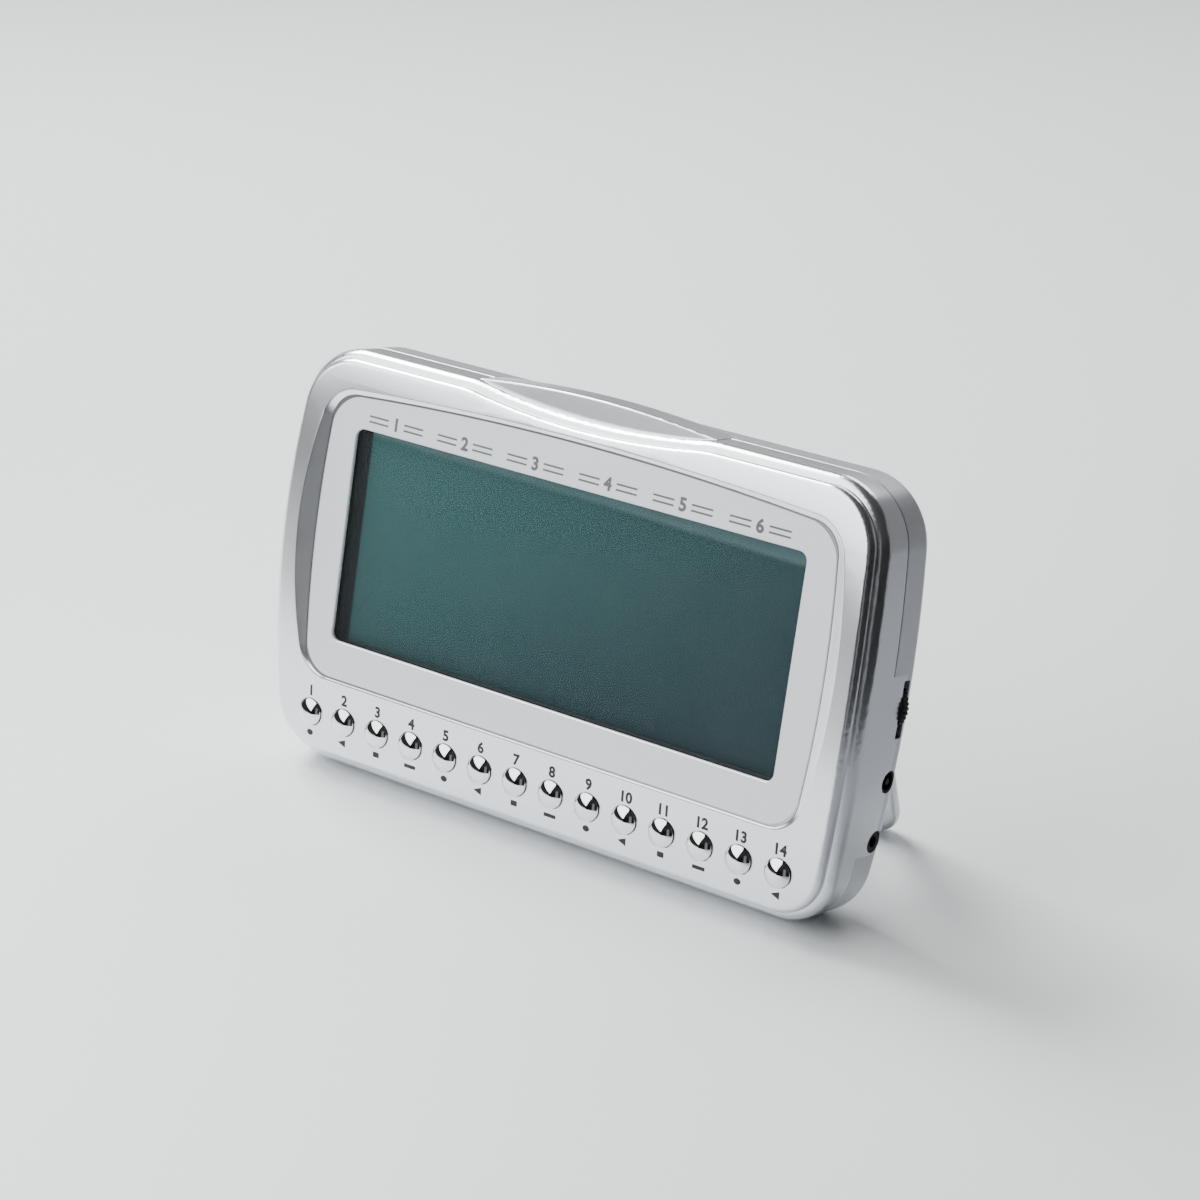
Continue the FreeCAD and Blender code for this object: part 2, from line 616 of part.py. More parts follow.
def cut_crown(body, name, apex):
    """Cut away all that lies in front of the crowned surface whose apex is at a depth."""
    sketch = new_sketch(body, name, SIDE_PLANE)
    radius = size("crown_radius")
    middle = size("crown_middle")
    depth = amount(apex)
    span = math.asin((size("body_bottom") + size("body_top")) / radius)
    top = V(depth + radius - radius * math.cos(span), middle + radius * math.sin(span), 0)
    low = V(top.x, middle - radius * math.sin(span), 0)
    front = depth - 4 * size("ring_rise")
    sketch.addGeometry(arc(depth + radius, middle, radius, PI - span, PI + span), False)
    sketch.addGeometry(Part.LineSegment(low, V(front, low.y, 0)), False)
    sketch.addGeometry(Part.LineSegment(V(front, low.y, 0), V(front, top.y, 0)), False)
    sketch.addGeometry(Part.LineSegment(V(front, top.y, 0), top), False)
    for step in range(4):
        sketch.addConstraint(Sketcher.Constraint("Coincident", step, 2, (step + 1) % 4, 1))
    bind_constraint(sketch, Sketcher.Constraint("Radius", 0, radius), "crown_radius")
    return pocket(body, sketch, "1", through=True)


def crowned_block(label, inset, apex, rounding=None):
    """A block of the housing's outline with a crowned front, from the face to the joint."""
    body = tool_body(label)
    front = "2 * ring_rise"
    sketch = new_sketch(body, label + "_outline", depth=f"-{front}")
    housing_outline(sketch, inset, scooped=True)
    pad(body, sketch, f"joint_depth + {front}")
    cut_crown(body, label + "_crown", apex)
    if rounding:
        joint = size("joint_depth")
        def front_edge(edge):
            box = edge.BoundBox
            return box.YMax < joint - 0.01 and not on_straight_depth(edge)
        round_edges(body, rounding, front_edge, label + "_rounding")
    return body


def on_straight_depth(edge):
    """True for an edge that runs straight from front to back."""
    box = edge.BoundBox
    return box.XLength < 0.001 and box.ZLength < 0.001


def screw_places():
    """Housing screws: two upper corners, two lower corners, two between display and keys."""
    half = size("body_width") / 2
    upper = (half - size("upper_screw_inset"), size("body_top") - size("upper_screw_drop"))
    lower = (half - size("lower_screw_inset"), size("lower_screw_rise") - size("body_bottom"))
    inner = (size("inner_screw_spacing") / 2, -size("panel_bottom") - size("inner_screw_drop"))
    return [(turn * x, z) for x, z in (upper, lower, inner) for turn in (-1, 1)]


# ---------------------------------------------------------------- front frame

def make_front_frame():
    """Crowned bezel: land, ring, dish down to the panel, key holes, hollow back, screw bosses."""
    frame = new_body("front_frame")
    land = crowned_block("land", "0", "0", "front_rounding")
    ring = crowned_block("ring", "ring_inset", "-ring_rise", "ring_rounding")
    hollow = crowned_block("hollow", "wall", "wall")
    ring_hollow = crowned_block("ring_hollow", "ring_hollow_inset", "face_wall - ring_rise")
    boolean(frame, land, "Fuse")
    boolean(frame, ring, "Fuse")
    boolean(frame, hollow, "Cut")
    boolean(frame, ring_hollow, "Cut")
    add_front_bosses(frame)
    add_panel_seat(frame)
    add_board_posts(frame)
    cut_panel_dish(frame)
    round_edges(frame, "crest_rounding", crest_of(frame), "crest")
    cut_key_holes(frame)
    add_side_tongue(frame)
    cut_bar_opening(frame, "frame_bar")
    cut_side_holes(frame, "frame")
    groove = at_outer_joint(size("joint_depth"))
    round_edges(frame, "joint_groove", groove, "frame_groove", bevel=True)
    return frame


def at_outer_joint(depth):
    """A test for the outer edges of the parting line away from the tongue and the bar."""
    limit = size("side_joint_depth") - size("joint_depth")
    def test(edge):
        box = edge.BoundBox
        if not at_depth(depth)(edge) or box.DiagonalLength < limit:
            return False
        middle = edge.valueAt((edge.FirstParameter + edge.LastParameter) / 2)
        outer_side = abs(abs(middle.x) - side_of_housing(middle.z)) < 0.02
        outer_end = abs(middle.z + size("body_bottom")) < 0.02 or abs(middle.z - size("body_top")) < 0.02
        return (outer_side and middle.x < 0) or (outer_end and box.XLength > limit)
    return test


def add_front_bosses(frame):
    """Screw bosses behind the front wall, each with its pilot hole."""
    for number, (x, z) in enumerate(screw_places(), start=1):
        root = crown(z) + size("wall") - 1.0
        if number > 4:
            root = size("panel_thickness") + 1.0
        sketch = new_sketch(frame, f"boss_{number}", depth=str(root))
        circle(sketch, x, z, "boss_radius")
        pad(frame, sketch, f"boss_end - {root}")
    sketch = new_sketch(frame, "pilot_holes", depth="boss_end")
    for x, z in screw_places():
        circle(sketch, x, z, "screw_radius + axle_fit")
    pocket(frame, sketch, "screw_length - (screw_seat - boss_end) + fit_gap", towards_back=False)


def add_panel_seat(frame):
    """Ledge that carries the display panel, grown into the back of the crowned wall."""
    seat = tool_body("panel_seat")
    front = "2 * ring_rise"
    sketch = new_sketch(seat, "panel_seat_outline", depth=f"-{front}")
    panel_outline(sketch, "-seat_margin")
    pad(seat, sketch, f"seat_depth + {front}")
    cut_crown(seat, "panel_seat_crown", "face_wall - ring_rise - seat_root")
    boolean(frame, seat, "Fuse")


def key_board_depth():
    """Front face of the key board: the stack of cap, stem and switch behind the wall."""
    flange = crown(-size("button_level") - size("button_radius")) + size("face_wall") - size("ring_rise")
    stem_end = flange + size("slide_gap") + size("stem_length")
    return stem_end + size("button_travel") + size("fit_gap") + size("plunger_height") + size("switch_height")


def add_board_posts(frame):
    """Posts for the key board and the side board, and two brackets for the snooze board."""
    sketch = new_sketch(frame, "key_posts", depth=str(crown(-size("button_level")) - 1.5))
    for gap in (1.5, 6.5, 11.5):
        across = f"button_shift + ({gap} - (button_count - 1) / 2) * button_pitch"
        for turn in ("-", "+"):
            circle(sketch, across, f"-button_level {turn} key_board_height / 3", "post_radius")
    pad(frame, sketch, f"{key_board_depth()} - {crown(-size('button_level')) - 1.5}")
    sketch = new_sketch(frame, "side_posts", depth="seat_depth - 1")
    across = "(window_width / 2 + glass_margin + surround_wall + board_margin + 1 + post_radius)"
    for level in ("0", "-power_level - jack_size"):
        circle(sketch, across, level, "post_radius")
    pad(frame, sketch, "side_board_depth - seat_depth + 1")
    root = crown(amount(snooze_board_under()))
    sketch = new_sketch(frame, "snooze_brackets", depth=str(root))
    for turn in ("-", ""):
        middle = f"({turn}bar_width / 3)"
        rectangle(sketch, f"{middle} - 2", f"{middle} + 2", f"{snooze_board_under()} - 2.4", snooze_board_under())
    pad(frame, sketch, f"bar_back - 1 - {root}")


def snooze_board_under():
    """Under side of the snooze board, as an expression."""
    stack = "bar_skirt + bar_travel + fit_gap + plunger_height + switch_height + board_thickness"
    return f"(body_top - {stack.replace(' + ', ' - ')})"


def cut_panel_dish(frame):
    """Slope from the ring down to the panel, the panel's recess and the lens opening."""
    spread = math.tan(math.radians(size("dish_slope")))
    outer = new_sketch(frame, "dish_outer", depth="-dish_height")
    panel_outline(outer, f"-(panel_gap + dish_height * {spread})")
    inner = new_sketch(frame, "dish_inner", depth="0")
    panel_outline(inner, "-panel_gap")
    dish = frame.newObject("PartDesign::SubtractiveLoft", "dish")
    dish.Profile = outer
    dish.Sections = [inner]
    dish.Ruled = True
    doc.recompute()
    recess = new_sketch(frame, "panel_recess", depth="-panel_gap")
    panel_outline(recess, "-panel_gap")
    pocket(frame, recess, "panel_thickness + panel_gap")
    opening = new_sketch(frame, "lens_opening", depth="0")
    half_width = "(window_width / 2 + lens_margin + fit_gap)"
    half_height = "(window_height / 2 + lens_margin + fit_gap)"
    rounded_rectangle(opening, f"-{half_width}", half_width, f"-{half_height}", half_height, "window_corner")
    pocket(frame, opening, "seat_depth + fit_gap")


def crest_of(frame):
    """A test for the edges where the dish's slope meets the front of the ring."""
    shape = frame.Tip.Shape
    slope = math.sin(math.radians(size("dish_slope")))

    def sloping(face, point):
        across, along = face.Surface.parameter(point)
        return abs(abs(face.normalAt(across, along).y) - slope) < 0.002

    def test(edge):
        middle = edge.valueAt((edge.FirstParameter + edge.LastParameter) / 2)
        if edge.BoundBox.YMax > -0.01 or abs(middle.x) > size("body_width") / 2 - size("ring_hollow_inset"):
            return False
        faces = shape.ancestorsOfType(edge, Part.Face)
        return sum(sloping(face, middle) for face in faces) == 1
    return test


def cut_key_holes(frame):
    """The row of holes for the keys."""
    sketch = new_sketch(frame, "key_holes", depth="-ring_rise")
    for number in range(int(size("button_count"))):
        circle(sketch, button_across(number), "-button_level", "button_radius + slide_gap")
    pocket(frame, sketch, "3 * ring_rise")


def button_across(number):
    """Place of a key along the row."""
    return f"button_shift + ({number} - (button_count - 1) / 2) * button_pitch"


def strip_of_side(sketch, low, high):
    """A stretch of the right-hand wall as a sketch on the front plane."""
    middle, level = side_centre()
    bow = size("side_radius")
    inner = bow - size("wall")
    bottom, top = amount(low), amount(high)
    out_low, out_top = (math.asin((z - level) / bow) for z in (bottom, top))
    in_low, in_top = (math.asin((z - level) / inner) for z in (bottom, top))
    outer_low = V(middle + bow * math.cos(out_low), bottom, 0)
    outer_top = V(middle + bow * math.cos(out_top), top, 0)
    inner_low = V(middle + inner * math.cos(in_low), bottom, 0)
    inner_top = V(middle + inner * math.cos(in_top), top, 0)
    sketch.addGeometry(arc(middle, level, bow, out_low, out_top), False)
    sketch.addGeometry(Part.LineSegment(outer_top, inner_top), False)
    sketch.addGeometry(arc(middle, level, inner, in_low, in_top), False)
    sketch.addGeometry(Part.LineSegment(inner_low, outer_low), False)


def add_side_tongue(frame):
    """The right-hand wall runs further back beside the wheel and the jacks."""
    sketch = new_sketch(frame, "tongue", depth="joint_depth - fit_gap")
    strip_of_side(sketch, "-tongue_bottom", "tongue_top")
    pad(frame, sketch, "side_joint_depth - joint_depth + fit_gap")


def cut_bar_opening(body, name):
    """Opening in the top wall for the snooze bar."""
    sketch = new_sketch(body, name, TOP_PLANE, depth="body_top - bar_skirt - bar_travel - slide_gap")
    half = "(bar_width / 2 + slide_gap)"
    rectangle(sketch, f"-{half}", half, "bar_front - slide_gap", "bar_back + slide_gap")
    pocket(body, sketch, "2 * bar_skirt", towards_back=False)


def cut_side_holes(body, name):
    """Slot for the wheel and round holes for the jacks, through the right-hand wall."""
    inner = side_of_housing(-size("audio_level")) - 2 * size("wall")
    sketch = new_sketch(body, name + "_side_holes", SIDE_PLANE, depth=str(inner))
    half = "(wheel_thickness / 2 + slide_gap)"
    low, high = "-wheel_level - wheel_slot / 2", "wheel_slot / 2 - wheel_level"
    rectangle(sketch, f"side_joint_depth - {half}", f"side_joint_depth + {half}", low, high)
    for level in ("power_level", "audio_level"):
        circle(sketch, "side_joint_depth", f"-{level}", "jack_radius + fit_gap")
    pocket(body, sketch, "4 * wall + wheel_proud", towards_back=False)


# ---------------------------------------------------------------- rear cover

def make_rear_cover():
    """Rear shell with a raised middle, battery bay, grille, keyholes and the stand's bearings."""
    cover = new_body("rear_cover")
    outline = new_sketch(cover, "cover_outline", depth="joint_depth")
    housing_outline(outline)
    pad(cover, outline, "body_depth - joint_depth")
    round_edges(cover, "rear_rounding", at_depth(size("body_depth")), "cover_rounding")
    raised = new_sketch(cover, "raised_middle", depth="body_depth - wall")
    half = "back_width / 2"
    rounded_rectangle(raised, f"-{half}", half, "-back_bottom", "back_top", "back_corner")
    pad(cover, raised, "back_depth - body_depth + wall")
    round_edges(cover, "back_rounding", at_depth(size("back_depth")), "raised_rounding")
    inside = new_sketch(cover, "cover_inside", depth="joint_depth")
    housing_outline(inside, "wall")
    pocket(cover, inside, "body_depth - wall - joint_depth")
    deeper = new_sketch(cover, "raised_inside", depth="joint_depth")
    half = "(back_width / 2 - wall)"
    rounded_rectangle(deeper, f"-{half}", half, "wall - back_bottom", "back_top - wall", "back_corner - wall")
    pocket(cover, deeper, "back_depth - wall - joint_depth")
    add_rear_bosses(cover)
    add_battery_bay(cover)
    cut_grille(cover)
    cut_keyholes(cover)
    cut_stand_bearings(cover)
    cut_tongue_room(cover)
    cut_rear_bar_opening(cover)
    cut_side_holes(cover, "cover")
    cut_standing_land(cover)
    groove = at_outer_joint(size("joint_depth"))
    round_edges(cover, "joint_groove", groove, "cover_groove", bevel=True)
    return cover


def cut_rear_bar_opening(cover):
    """Notch in the rear cover's top wall behind the front frame's opening for the bar."""
    cut_bar_opening(cover, "cover_bar")


def add_rear_bosses(cover):
    """Screw bosses with seats for the screw heads."""
    start = "(boss_end + axle_fit)"
    sketch = new_sketch(cover, "rear_bosses", depth=start)
    for x, z in screw_places():
        circle(sketch, x, z, "screw_head_radius + slide_gap + boss_wall")
    pad(cover, sketch, f"body_depth - wall / 2 - {start}")
    inner = new_sketch(cover, "inner_bosses", depth="body_depth - wall")
    for x, z in screw_places()[4:]:
        circle(inner, x, z, "screw_head_radius + slide_gap + boss_wall")
    pad(cover, inner, "back_depth - body_depth + wall / 2")
    seats = new_sketch(cover, "screw_seats", depth="screw_seat")
    for x, z in screw_places():
        circle(seats, x, z, "screw_head_radius + slide_gap")
    pocket(cover, seats, "back_depth")
    shanks = new_sketch(cover, "screw_ways", depth="joint_depth")
    for x, z in screw_places():
        circle(shanks, x, z, "screw_radius + screw_clearance")
    pocket(cover, shanks, "back_depth - joint_depth")


def bay_length():
    """Inside of the battery bay from contact wall to contact wall, as an expression."""
    return "(cell_length + cell_nub_height + spring_length + 2 * contact_thickness + fit_gap)"


def bay_left():
    """Inner face of the bay's left wall, as an expression."""
    return f"(-bay_middle - {bay_length()} / 2)"


def bay_right():
    """Inner face of the bay's right wall, as an expression."""
    return f"({bay_length()} / 2 - bay_middle)"


def add_battery_bay(cover):
    """Box for the cells, open to the back, with the door's ledge and the slots for its tabs."""
    low, high = "(-bay_level - bay_height / 2)", "(bay_height / 2 - bay_level)"
    block = new_sketch(cover, "bay_block", depth="bay_floor")
    rectangle(block, f"{bay_left()} - bay_wall", f"{bay_right()} + bay_wall", f"{low} - bay_wall", f"{high} + bay_wall")
    pad(cover, block, "back_depth - wall / 2 - bay_floor")
    inside = new_sketch(cover, "bay_inside", depth="bay_floor + bay_wall")
    rectangle(inside, bay_left(), bay_right(), low, high)
    pocket(cover, inside, "back_depth - bay_floor")
    opening = new_sketch(cover, "door_opening", depth="back_depth - wall")
    rectangle(opening, f"{bay_left()} - door_ledge / 2", f"{bay_right()} + door_ledge / 2", low, high)
    pocket(cover, opening, "2 * wall")
    slots = new_sketch(cover, "tab_slots", depth="back_depth - wall - tab_room")
    for turn in ("-", ""):
        middle = f"({turn}tab_spacing / 2 - bay_middle)"
        half = "(tab_width / 2 + slide_gap)"
        bottom = f"{low} - bay_wall - tab_length"
        rectangle(slots, f"{middle} - {half}", f"{middle} + {half}", bottom, f"{low} + 0.5")
    pocket(cover, slots, "tab_room")


def cut_grille(cover):
    """Round-ended slots in front of the loudspeaker, within a circle."""
    sketch = new_sketch(cover, "grille", depth="back_depth - 2 * wall")
    count = int(size("grille_count"))
    reach = size("speaker_radius") - 2.4
    half_slot = size("grille_slot") / 2
    for number in range(count):
        offset = (number - (count - 1) / 2) * size("grille_pitch")
        half = math.sqrt(reach ** 2 - offset ** 2)
        middle = size("speaker_middle")
        level = offset - size("speaker_level")
        left, right = middle - half, middle + half
        add_slot(sketch, left + half_slot, right - half_slot, level, half_slot)
    pocket(cover, sketch, "4 * wall")


def add_slot(sketch, left, right, level, half_slot):
    """A level slot with round ends."""
    curves = (
        Part.LineSegment(V(left, level - half_slot, 0), V(right, level - half_slot, 0)),
        arc(right, level, half_slot, -PI / 2, PI / 2),
        Part.LineSegment(V(right, level + half_slot, 0), V(left, level + half_slot, 0)),
        arc(left, level, half_slot, PI / 2, 3 * PI / 2),
    )
    add_smooth_loop(sketch, curves)


def cut_keyholes(cover):
    """Two keyholes for wall screws, each a round entry with a slot above it."""
    entries = new_sketch(cover, "keyhole_entries", depth="body_depth - 2 * wall")
    slots = new_sketch(cover, "keyhole_slots", depth="body_depth - 2 * wall")
    for turn in ("-", ""):
        across = f"({turn}keyhole_spacing / 2)"
        circle(entries, across, "keyhole_level", "keyhole_radius")
        x = amount(across)
        z = size("keyhole_level")
        rise = size("keyhole_rise")
        half = size("keyhole_slot")
        curves = (
            Part.LineSegment(V(x + half, z, 0), V(x + half, z + rise, 0)),
            arc(x, z + rise, half, 0, PI),
            Part.LineSegment(V(x - half, z + rise, 0), V(x - half, z, 0)),
            arc(x, z, half, PI, 2 * PI),
        )
        add_smooth_loop(slots, curves)
    pocket(cover, entries, "4 * wall")
    pocket(cover, slots, "4 * wall")


def cut_stand_bearings(cover):
    """Bearing holes for the stand's pins, and pockets where its heels stop."""
    depth = "(trunnion_length + slide_gap)"
    for name, start in (("left_bearing", "-back_width / 2 - slide_gap"), ("right_bearing", f"back_width / 2 - {depth}")):
        sketch = new_sketch(cover, name, SIDE_PLANE, depth=start)
        circle(sketch, "pivot_depth", "pivot_level", "trunnion_radius + axle_fit")
        pocket(cover, sketch, f"{depth} + slide_gap", towards_back=False)
    heels = new_sketch(cover, "heel_pockets", depth=str(heel_floor()))
    low, high = "pivot_level - stand_heel", "pivot_level + 2 * stand_heel"
    inner, outer = "back_width / 2", "(stand_width / 2 + 2 * slide_gap)"
    rectangle(heels, inner, outer, low, high)
    rectangle(heels, f"-{outer}", f"-{inner}", low, high)
    pocket(cover, heels, "body_depth")


def cut_tongue_room(cover):
    """Room for the front frame's tongue in the right-hand wall."""
    sketch = new_sketch(cover, "tongue_room", depth="joint_depth")
    out = "body_width / 2"
    inner = side_of_housing(-size("tongue_bottom")) - 2.5 * size("wall")
    gap = "axle_fit"
    rectangle(sketch, str(inner), f"{out} + wall", f"-tongue_bottom - {gap}", f"tongue_top + {gap}")
    pocket(cover, sketch, "side_joint_depth - joint_depth")


def open_angle():
    """Angle of the open stand from the back, in radians, that puts its foot on the table."""
    lean = math.radians(size("lean"))
    half = size("stand_thickness") / 2
    drop = size("pivot_level") * math.cos(lean) - size("pivot_depth") * math.sin(lean)
    height = drop - table_level() - half
    return lean + math.acos(height / (size("stand_reach") - half))


def heel_floor():
    """Depth at which the open stand's heel touches the cover."""
    angle = open_angle()
    half = size("stand_thickness") / 2
    back = half * math.cos(angle) + size("stand_heel") * math.sin(angle)
    return size("pivot_depth") - back - size("fit_gap")


def table_level():
    """Height of the table in the leaning frame, below the window's middle."""
    lean = math.radians(size("lean"))
    radius = size("rear_rounding")
    low = (radius - size("body_bottom")) * math.cos(lean)
    low -= (size("body_depth") - radius) * math.sin(lean)
    return low - radius + size("land_relief")


def cut_standing_land(cover):
    """Flat land on the rear lower edge, level when the clock leans back."""
    lean = math.radians(size("lean"))
    level = table_level()
    reach = 2 * size("body_depth")
    sketch = new_sketch(cover, "standing_land", SIDE_PLANE)

    def upright(along, height):
        """A point of the standing clock, back in the upright frame."""
        depth = along * math.cos(lean) - height * math.sin(lean)
        return depth, along * math.sin(lean) + height * math.cos(lean)

    corners = [upright(along, height) for along, height in
               ((-reach, level), (reach, level), (reach, level - reach), (-reach, level - reach))]
    add_polygon(sketch, corners)
    pocket(cover, sketch, "1", through=True)


# ---------------------------------------------------------------- display

def make_display():
    """Panel plate, lens, glass, black surround, elastomer strips and main board."""
    panel = new_body("display_panel")
    plate = new_sketch(panel, "panel_plate")
    panel_outline(plate)
    pad(panel, plate, "panel_thickness")
    half_width, half_height = "window_width / 2", "window_height / 2"
    window = new_sketch(panel, "panel_window", depth="-1")
    rounded_rectangle(window, f"-{half_width}", half_width, f"-{half_height}", half_height, "window_corner")
    pocket(panel, window, "panel_thickness + 2")
    limit = size("window_width") / 2 + 1

    def window_edge(edge):
        box = edge.BoundBox
        return at_depth(0)(edge) and box.XMax < limit and box.XMin > -limit and abs(box.ZMax) < limit / 2
    round_edges(panel, "window_bevel", window_edge, "window_bevel_edge", bevel=True)

    lens = new_body("display_lens")
    sheet_of("lens_sheet", lens, "lens_margin", "panel_thickness", "lens_thickness")

    surround = new_body("display_surround")
    margin = "(glass_margin + surround_wall)"
    start = "seat_depth"
    glass_back = "(glass_depth + glass_thickness)"
    sheet_of("surround_block", surround, margin, start, f"{glass_back} + strip_height - seat_depth")
    front = "(panel_thickness + lens_thickness)"
    sheet_of("surround_collar", surround, "lens_margin", front, f"seat_depth - {front}")
    cut = new_sketch(surround, "surround_window", depth="0")
    rounded_rectangle(cut, f"-{half_width}", half_width, f"-{half_height}", half_height, "window_corner")
    pocket(surround, cut, "2 * board_thickness + glass_depth")
    seat = new_sketch(surround, "glass_seat", depth="glass_depth")
    wide = "(window_width / 2 + glass_margin + fit_gap)"
    high = "(window_height / 2 + glass_margin + fit_gap)"
    rectangle(seat, f"-{wide}", wide, f"-{high}", high)
    pocket(surround, seat, "4 * glass_thickness")
    board_screw_holes(surround, "surround", "seat_depth", "glass_depth + glass_thickness")

    glass = new_body("lcd_glass")
    sketch = new_sketch(glass, "glass_plate", depth="glass_depth")
    wide = "(window_width / 2 + glass_margin)"
    high = "(window_height / 2 + glass_margin)"
    rectangle(sketch, f"-{wide}", wide, f"-{high}", high)
    pad(glass, sketch, "glass_thickness")

    strips = new_body("zebra_strips")
    sketch = new_sketch(strips, "strips", depth=glass_back)
    reach = "(window_width / 2)"
    edge = "(window_height / 2 + glass_margin - 0.5)"
    rectangle(sketch, f"-{reach}", reach, f"{edge} - strip_width", edge)
    rectangle(sketch, f"-{reach}", reach, f"-{edge}", f"strip_width - {edge}")
    pad(strips, sketch, "strip_height")

    board = new_body("main_board")
    board_depth = f"({glass_back} + strip_height)"
    wide = f"(window_width / 2 + {margin} + board_margin)"
    high = f"(window_height / 2 + {margin} + board_margin - 1)"
    sketch = new_sketch(board, "board_plate", depth=board_depth)
    rectangle(sketch, f"-{wide}", wide, f"-{high}", high)
    pad(board, sketch, "board_thickness")
    board_screw_holes(board, "board", board_depth, "board_thickness + 2")
    chip = new_sketch(board, "chip", depth=f"{board_depth} + board_thickness - fit_gap")
    circle(chip, "12", "0.1 * window_height", "8")
    pad(board, chip, "1.4 + fit_gap")
    make_board_screws(board_depth)


def sheet_of(name, body, margin, depth, thickness):
    """A plate round the display window, larger by a margin."""
    sketch = new_sketch(body, name, depth=depth)
    wide = f"(window_width / 2 + {margin})"
    high = f"(window_height / 2 + {margin})"
    rounded_rectangle(sketch, f"-{wide}", wide, f"-{high}", high, "window_corner")
    return pad(body, sketch, thickness)


def board_screw_places():
    """Four screws at the ends of the display surround."""
    x = "(window_width / 2 + glass_margin + surround_wall / 2 + 2 * fit_gap)"
    z = "(window_height / 2 - 4)"
    return [(f"{a}{x}", f"{b}{z}") for a in ("-", "") for b in ("-", "")]


def board_screw_holes(body, name, depth, length):
    """Clearance holes for the board screws."""
    sketch = new_sketch(body, name + "_screw_holes", depth=depth)
    for across, up in board_screw_places():
        circle(sketch, across, up, "0.9")
    pocket(body, sketch, length)


def make_board_screws(board_depth):
    """Small screws that hold the board and the surround against the panel seat."""
    screws = new_body("board_screws")
    shanks = new_sketch(screws, "board_shanks", depth="seat_depth")
    heads = None
    for across, up in board_screw_places():
        circle(shanks, across, up, "0.8")
    length = f"({board_depth} + board_thickness - seat_depth)"
    pad(screws, shanks, f"{length} + fit_gap")
    heads = new_sketch(screws, "board_heads", depth=f"{board_depth} + board_thickness")
    for across, up in board_screw_places():
        circle(heads, across, up, "1.8")
    pad(screws, heads, "1.4")


# ---------------------------------------------------------------- keys

def make_keys():
    """Fourteen chrome caps, their switches and the key board."""
    field = crown(-size("button_level")) - size("ring_rise")
    rim = field - size("button_rise")
    back = crown(-size("button_level") - size("button_radius")) + size("face_wall") - size("ring_rise")
    flange = back + size("slide_gap")
    stem_end = flange + size("stem_length")
    for number in range(int(size("button_count"))):
        cap = new_body(f"button_{number + 1:02d}")
        sketch = new_sketch(cap, f"cap_{number + 1:02d}", SIDE_PLANE)
        cap_profile(sketch, rim, flange, stem_end)
        revolve(cap, sketch)
        moved = V(amount(button_across(number)), 0, -size("button_level"))
        cap.Placement = FreeCAD.Placement(moved, FreeCAD.Rotation())
    switch_top = stem_end + size("button_travel") + size("fit_gap")
    base = key_board_depth()
    switches = new_body("key_switches")
    half = "switch_size / 2"
    bodies = new_sketch(switches, "switch_bodies", depth=str(base - size("switch_height")))
    plungers = []
    for number in range(int(size("button_count"))):
        x = button_across(number)
        rectangle(bodies, f"{x} - {half}", f"{x} + {half}", f"-button_level - {half}", f"{half} - button_level")
        plungers.append(x)
    pad(switches, bodies, "switch_height")
    sketch = new_sketch(switches, "switch_plungers", depth=str(switch_top))
    for x in plungers:
        circle(sketch, x, "-button_level", "plunger_radius")
    pad(switches, sketch, "plunger_height + fit_gap")
    board = new_body("key_board")
    sketch = new_sketch(board, "key_board_plate", depth=str(base))
    wide = "key_board_width / 2"
    high = "key_board_height / 2"
    rectangle(sketch, f"-{wide}", wide, f"-button_level - {high}", f"{high} - button_level")
    pad(board, sketch, "board_thickness")
    make_ribbon(base + size("board_thickness"))


def cap_profile(sketch, rim, flange, stem_end):
    """Half section of a cap: dome, wall, flange and stem, along the sketch's level axis."""
    radius = size("button_radius")
    dome = size("button_dome")
    ball = (radius ** 2 + dome ** 2) / (2 * dome)
    apex = rim - dome
    spread = math.asin(radius / ball)
    wide = radius + size("button_flange")
    stem = size("stem_radius")
    step = flange + 1.0
    first = Part.ArcOfCircle(Part.Circle(V(apex + ball, 0, 0), V(0, 0, 1), ball), PI - spread, PI)
    corners = ((apex, 0), (stem_end, 0), (stem_end, stem), (step, stem), (step, wide), (flange, wide),
               (flange, radius), (rim, radius))
    sketch.addGeometry(first, False)
    for (x0, y0), (x1, y1) in zip(corners, corners[1:]):
        sketch.addGeometry(Part.LineSegment(V(x0, y0, 0), V(x1, y1, 0)), False)
    count = len(corners)
    for step_number in range(count):
        following = (step_number + 1) % count
        joined = Sketcher.Constraint("Coincident", step_number, 2, following, 1)
        sketch.addConstraint(joined)


def make_ribbon(key_board_back):
    """Flat ribbon from the back of the main board down to the back of the key board."""
    ribbon = new_body("ribbon")
    thick = size("ribbon_thickness")
    start = amount("glass_depth + glass_thickness + strip_height + board_thickness")
    main_low = -amount("window_height / 2 + glass_margin + surround_wall + board_margin - 1")
    top = main_low + size("ribbon_lap")
    bend = main_low - size("ribbon_bend")
    board_top = amount("key_board_height / 2 - button_level")
    low = board_top - size("ribbon_lap")
    path = ((start, top), (start + thick, top), (start + thick, bend),
            (key_board_back + thick, board_top + 1.5), (key_board_back + thick, low),
            (key_board_back, low), (key_board_back, board_top + 1.3), (start, bend - 0.2))
    sketch = new_sketch(ribbon, "ribbon_path", SIDE_PLANE, depth="ribbon_place")
    add_polygon(sketch, path)
    pad(ribbon, sketch, "ribbon_width", towards_back=False)


# ---------------------------------------------------------------- snooze bar

